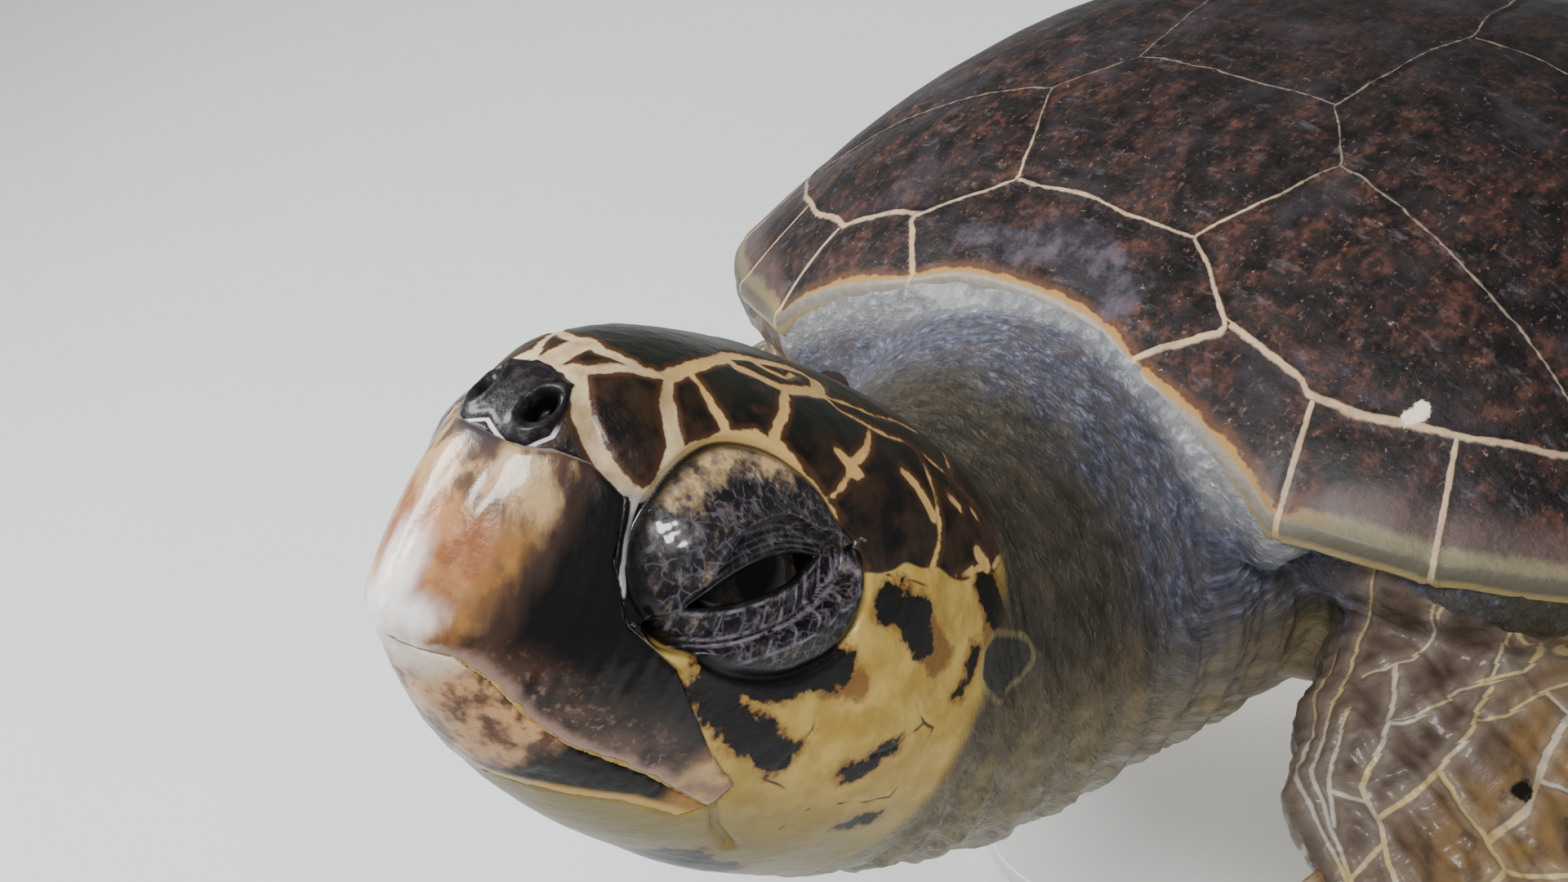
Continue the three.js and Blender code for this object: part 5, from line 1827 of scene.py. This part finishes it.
def carapace_mesh(count):
    """The plate's points, quads, closing triangles, fields, and a mark for its underside."""
    angle, u, quads, rim = disc_grid(count)
    top, fields = carapace_top(angle, u)
    rows = carapace_rows(top[rim])
    size = len(rim)
    centre = len(top) + size * len(rows)
    numbers = [rim] + list(np.arange(len(top), centre).reshape(-1, size))
    faces = [quads]
    for above, below in zip(numbers[:-1], numbers[1:]):
        faces.append(np.stack([above, below, np.roll(below, -1), np.roll(above, -1)], 1))
    fan = np.stack([numbers[-1], np.full(size, centre), np.roll(numbers[-1], -1)], 1)
    middle = np.array([0.0])
    points = [top] + rows + [[[0, 0, shell_top(middle, middle)[0] - SHELL_THICKNESS]]]
    fields = [np.concatenate([f, np.tile(f[rim], len(rows)), [30.0]]) for f in fields]
    drops = [drop for _, drop in RIM_ROUNDING]
    drops += [drops[-1]] * len(UNDERSIDE_SHARES)
    fields[-1][len(top) : -1] += np.repeat(drops, size)
    under = (np.arange(centre + 1) >= len(top) + RIM_ROWS_SEEN * size).astype(float)
    return np.concatenate(points), np.concatenate(faces), fan, fields, under


def shell_horn(p, cloud, medium, fine):
    """Near black plates with warm clouds, flecks and a chalky growth towards the front."""
    warmth = p.field("warmth")
    base = p.over((15, 13, 13), (34, 28, 27), medium, 0.36, 0.66)
    warm = p.over((72, 46, 37), (40, 29, 26), fine, 0.4, 0.6)
    base = p.over(base, warm, cloud, 0.46, 0.64, warmth)
    flecks = p.noise(4.4, 6, 0.72, (1.5, 0.6, 1))
    base = p.over(base, (112, 78, 62), flecks, 0.58, 0.70, p.times(warmth, 0.7))
    base = p.over(base, (150, 134, 130), p.noise(3.2, 5, 0.72), 0.62, 0.74, p.times(warmth, 0.7))
    base = p.over(base, (60, 54, 60), p.noise(46, 5, 0.6), 0.5, 0.7, 0.4)
    mist = p.noise(9, 6, 0.75, (0.5, 1.4, 1))
    return p.over(base, (104, 94, 100), mist, 0.54, 0.72, p.times(warmth, 0.4))


def shell_rim(p, base, cloud, medium, fine):
    """The tan border, the worn brink and the peeling film at the front."""
    side = p.field("side")
    inward = p.field("inward")
    edge = p.calc("DIVIDE", p.plus(inward, p.sway(medium, 5)), p.field("border"))
    base = p.over(base, p.mix(side, (96, 64, 42), (88, 72, 68)), edge, 4.2, 1.3, 0.55)
    base = p.over(base, p.mix(side, (150, 114, 62), (104, 96, 74)), edge, 1.1, 0.3)
    brink = p.mix(side, p.mix(fine, (96, 90, 80), (140, 134, 122)), (78, 73, 60))
    base = p.over(base, brink, inward, 0.0, -2.2)
    film = p.over((44, 40, 46), (84, 80, 92), cloud, 0.4, 0.62)
    peel = p.plus(p.field("peel"), p.sway(medium, 16))
    return p.over(base, film, peel, -4.5, 2.5, p.blend(fine, 0.15, 0.9))


def shell_material():
    p = Paint("shell_horn", Coat_Weight=0.09, Coat_Roughness=0.28, Specular_IOR_Level=0.2)
    cloud = p.noise(15, 6, 0.68, stretch=(1.3, 0.7, 1))
    medium = p.noise(12, 6, 0.65)
    fine = p.noise(4, 4)
    wobble = p.sway(fine, 1.4)
    base = shell_rim(p, shell_horn(p, cloud, medium, fine), cloud, medium, fine)
    row, ring, between = (p.calc("ABSOLUTE", p.field(name)) for name in ("row", "ring", "between"))
    gap = p.calc("MINIMUM", p.calc("MINIMUM", row, ring), between)
    line = p.step(p.plus(p.less(gap, p.field("seam_width")), wobble), 0.4, -0.35)
    seam = p.over((146, 122, 98), (182, 158, 122), medium, 0.3, 0.7)
    seam = p.mix(p.field("fresh"), (84, 75, 71), seam)
    base = p.mix(line, base, seam)
    scar = p.plus(p.field("scar"), p.times(wobble, 3))
    base = p.over(base, (214, 202, 184), scar, -0.5, 0.5)
    base = p.mix(p.field("under"), base, (168, 146, 96))
    normal = p.relief((line, 0.35), (medium, 0.9), (fine, 0.45))
    return p.finish(base, p.blend(medium, 0.38, 0.62), normal)


def make_carapace():
    points, quads, fan, fields, under = carapace_mesh(330)
    mesh = mesh_of("carapace", points, quads)
    edit = bmesh.new()
    edit.from_mesh(mesh)
    edit.verts.ensure_lookup_table()
    for corners in fan:
        edit.faces.new([edit.verts[int(i)] for i in corners])
    bmesh.ops.recalc_face_normals(edit, faces=edit.faces)
    edit.to_mesh(mesh)
    edit.free()
    row, ring, between, inward = fields
    wide = np.abs(points[:, 0])
    ahead = -points[:, 1]
    fresh = smooth(ahead, 235, 300)
    near_edge = (1 - smooth(inward, 20, 34)) * smooth(ahead, 60, 250)
    on_top = (points[:, 2] > 0) & (under < 0.5)
    set_fields(
        mesh,
        row=row,
        ring=ring,
        between=between,
        inward=inward,
        fresh=0.3 + 0.7 * np.maximum(fresh, near_edge),
        seam_width=0.3 + 0.35 * fresh + 0.45 * near_edge,
        side=smooth(wide, 110, 160),
        warmth=0.25 + 0.75 * smooth(ahead + 0.5 * wide, 120, 330),
        border=1.1 + 2.3 * smooth(wide, 128, 165),
        peel=np.where(on_top, capsule_field(points[:, :2], PEEL_PATCH), -20),
        scar=np.where(on_top, capsule_field(points[:, :2], SCAR_SPOT), -20),
        under=under,
    )
    add_piece("carapace_scutes", mesh, "shell", shell_material(), "carapace")


# ---------------------------------------------------------------- plastron


PLASTRON_SEAMS = [-232, -128, -24, 78, 172]


def plastron_mesh(rings=60, spokes=300):
    """The plate's points and triangles, and the mm to its seams."""
    turns = circle(spokes)
    s = (1 - np.cos(turns)) / 2
    x = np.where(np.sin(turns) < 0, -1, 1) * plastron_half_width(s)
    x = np.where(np.abs(np.sin(turns)) < 1e-6, 0, x)
    centre = (PLASTRON_FRONT + PLASTRON_REAR) / 2
    y = mixed(PLASTRON_FRONT, PLASTRON_REAR, s) - centre
    upper = []
    lower = []
    gaps = []
    for u in np.linspace(1, 0.02, rings):
        px = x * u
        py = centre + y * u
        flat = np.stack([px, py, 0 * px], 1)
        middle = px + 3 * grain(flat, 40, 41)
        sides = np.abs(px) - 118 + 4 * grain(flat, 40, 42)
        cross = parity(py + 4 * grain(flat, 40, 43) - 0.1 * np.abs(px), PLASTRON_SEAMS)
        gap = np.minimum.reduce([np.abs(middle), np.abs(sides), np.abs(cross)])
        relief = 0.9 * bulge(gap, 1.6) - 0.5 * layered(flat, 30, 3, 44)
        rounding = 4.0 * (1 - np.sqrt(np.clip(1 - ((u - 0.97) / 0.03).clip(0, 1) ** 2, 0, 1)))
        under = plastron_under(px, py)
        upper.insert(0, np.stack([px, py, under + PLASTRON_THICKNESS - rounding], 1))
        lower.append(np.stack([px, py, under + relief + rounding], 1))
        gaps.append(gap)
    points, faces = loft(upper + lower)
    return points, faces, np.concatenate([np.full(spokes * rings, 30.0)] + gaps + [[30, 30]])


def plastron_material():
    p = Paint("plastron_horn", Coat_Weight=0.4, Coat_Roughness=0.18)
    wide = p.noise(70, 4)
    medium = p.noise(14, 5)
    fine = p.noise(3, 4)
    base = p.over((218, 196, 138), (196, 164, 98), wide, 0.35, 0.7)
    base = p.over(base, (150, 112, 66), medium, 0.55, 0.75, 0.5)
    line = p.step(p.plus(p.field("gap"), p.sway(fine, 1.5)), 2.2, 0.8)
    base = p.mix(line, base, (122, 92, 58))
    normal = p.relief((line, -0.6), (medium, 0.8), (fine, 0.25))
    return p.finish(base, p.blend(medium, 0.3, 0.5), normal)


def make_plastron():
    points, faces, gap = plastron_mesh()
    mesh = mesh_of("plastron", points, faces)
    set_fields(mesh, gap=gap)
    add_piece("plastron_scutes", mesh, "plastron", plastron_material(), "plastron")


# ---------------------------------------------------------------- stand


def stand_material():
    p = Paint("stand_paint", Metallic=0.0, Coat_Weight=0.2, Coat_Roughness=0.2)
    speckle = p.noise(0.9, 3)
    base = p.mix(p.noise(90, 3), (196, 198, 198), (210, 211, 210))
    return p.finish(base, p.blend(speckle, 0.34, 0.46), p.relief((speckle, 0.05)))


def make_stand():
    """The base with eased edges, and round rods, in the places of the CAD nodes."""
    material = stand_material()
    for name in ("stand_base", "stand_rod_front", "stand_rod_rear"):
        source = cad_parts[name]
        edit = bmesh.new()
        edit.from_mesh(source.data)
        bmesh.ops.remove_doubles(edit, verts=edit.verts, dist=1e-5)
        bmesh.ops.dissolve_limit(edit, angle_limit=0.02, verts=edit.verts, edges=edit.edges)
        mesh = bpy.data.meshes.new(name + "_finish")
        if name == "stand_base":
            rims = [e for e in edit.edges if e.calc_face_angle(0) > 1.2]
            bmesh.ops.bevel(edit, geom=rims, offset=0.0025, segments=4, affect="EDGES", profile=0.5)
            edit.to_mesh(mesh)
        else:
            low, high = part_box(name)
            rod(edit, low, high)
            edit.to_mesh(mesh)
        edit.free()
        set_fields(mesh, spot=points_of(mesh))
        mesh.polygons.foreach_set("use_smooth", np.ones(len(mesh.polygons), bool))
        mesh.materials.append(material)
        piece = object_of(name + "_finish", mesh)
        mesh.set_sharp_from_angle(angle=math.radians(40))
        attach(piece, "root")
        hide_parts(name)


ROD_EASE = 0.0006


def rod(edit, low, high):
    """A round rod whose top is cut to the slope of the plastron above it."""
    middle = (low + high) / 2
    tops = np.array([v.co for v in edit.verts if v.co.z > middle.z])
    edit.clear()
    fit = np.column_stack([tops[:, :2], np.ones(len(tops))])
    slope = np.linalg.lstsq(fit, tops[:, 2], rcond=None)[0]
    radius = (high.x - low.x) / 2
    angle = circle(48)
    rings = []
    for spread, level in ((radius - ROD_EASE, low.z), (radius, low.z + ROD_EASE), (radius, None)):
        x = middle.x + spread * np.cos(angle)
        y = middle.y + spread * np.sin(angle)
        z = slope[0] * x + slope[1] * y + slope[2] if level is None else level + 0 * x
        rings.append([edit.verts.new(corner) for corner in zip(x, y, z)])
    for below, above in zip(rings[:-1], rings[1:]):
        for k in range(len(angle)):
            edit.faces.new((below[k - 1], below[k], above[k], above[k - 1]))
    edit.faces.new(reversed(rings[0]))
    edit.faces.new(rings[-1])


# ---------------------------------------------------------------- floor, light, camera

CAMERA_PLACE = np.array([505.5, -967.5, 284.0])
CAMERA_TURN = 45.14
CAMERA_DOWN = 20.36
CAMERA_ROLL = 6.05
CAMERA_LENS = 47.67


def camera_axes():
    """Right, up and backward of the camera, in the body frame."""
    turn, down, roll = (math.radians(a) for a in (CAMERA_TURN, CAMERA_DOWN, CAMERA_ROLL))
    level = np.array([-math.sin(turn), math.cos(turn), 0])
    side = np.array([math.cos(turn), math.sin(turn), 0])
    up = np.array([0, 0, 1.0])
    forward = level * math.cos(down) - up * math.sin(down)
    above = level * math.sin(down) + up * math.cos(down)
    right = side * math.cos(roll) + above * math.sin(roll)
    over = above * math.cos(roll) - side * math.sin(roll)
    return np.stack([right, over, -forward])


def make_camera():
    data = bpy.data.cameras.new("camera")
    data.lens = CAMERA_LENS
    data.sensor_width = 36
    data.clip_start = 0.05
    camera = object_of("camera", data)
    matrix = Matrix((camera_axes() @ POSE.T).T.tolist()).to_4x4()
    matrix.translation = Vector(place(CAMERA_PLACE[None])[0])
    camera.matrix_world = matrix
    bpy.context.scene.camera = camera


def make_light(name, from_, aim, size, power, colour=(1, 1, 1), is_seen=True):
    """A round soft light. One that is not seen adds no highlights of its own."""
    data = bpy.data.lights.new(name, "AREA")
    data.shape = "DISK"
    data.size = size
    data.energy = power
    data.color = colour
    light = object_of(name, data)
    light.location = from_
    light.rotation_euler = (Vector(aim) - Vector(from_)).to_track_quat("-Z", "Y").to_euler()
    light.visible_glossy = is_seen


def make_floor():
    size = 14
    corners = [(-size, -size, 0), (size, -size, 0), (size, size, 0), (-size, size, 0)]
    mesh = mesh_of("floor", corners, [[0, 1, 2, 3]])
    p = Paint("floor_paint", Roughness=0.75)
    where = p.node("TexCoord", {})["Object"]
    cloud = p.node("TexNoise", {"Vector": where, "Scale": 3.0})[0]
    mesh.materials.append(p.finish(p.mix(cloud, (206, 210, 208), (214, 217, 215))))
    floor = object_of("floor", mesh)


def make_world():
    world = bpy.data.worlds.new("studio")
    world.use_nodes = True
    back = world.node_tree.nodes["Background"]
    back.inputs["Color"].default_value = (0.86, 0.9, 0.95, 1)
    back.inputs["Strength"].default_value = 0.24
    bpy.context.scene.world = world


# Where the lights aim, in the part's frame
HEAD_SPOT = (0.05, -0.35, 0.7)
SHELL_SPOT = (0.1, 0.0, 0.5)


def make_lights():
    make_light("key", (-1.31, -0.93, 1.8), HEAD_SPOT, 0.9, 70)
    make_light("top", (0.68, -0.74, 2.2), HEAD_SPOT, 0.5, 34)
    make_light("fill", (2.0, -1.4, 1.2), SHELL_SPOT, 2.0, 22, (0.92, 0.96, 1), False)
    make_light("back", (-1.2, 1.6, 2.2), SHELL_SPOT, 1.8, 30, (1, 1, 1), False)


# ---------------------------------------------------------------- the whole model

make_camera()
make_skin()
make_beak("beak_upper", upper_border, 0.9, True)
make_beak("beak_lower", lower_border, 0.2, False)
eye_finish = eye_material()
make_eye("eye_left", 1, eye_finish)
make_eye("eye_right", -1, eye_finish)
claw_finish = claw_material()
for number, (flipper, at, length) in enumerate(claws, 1):
    make_claw(number, flipper, at, length, claw_finish)
make_carapace()
make_plastron()
make_stand()
make_floor()
make_world()
make_lights()
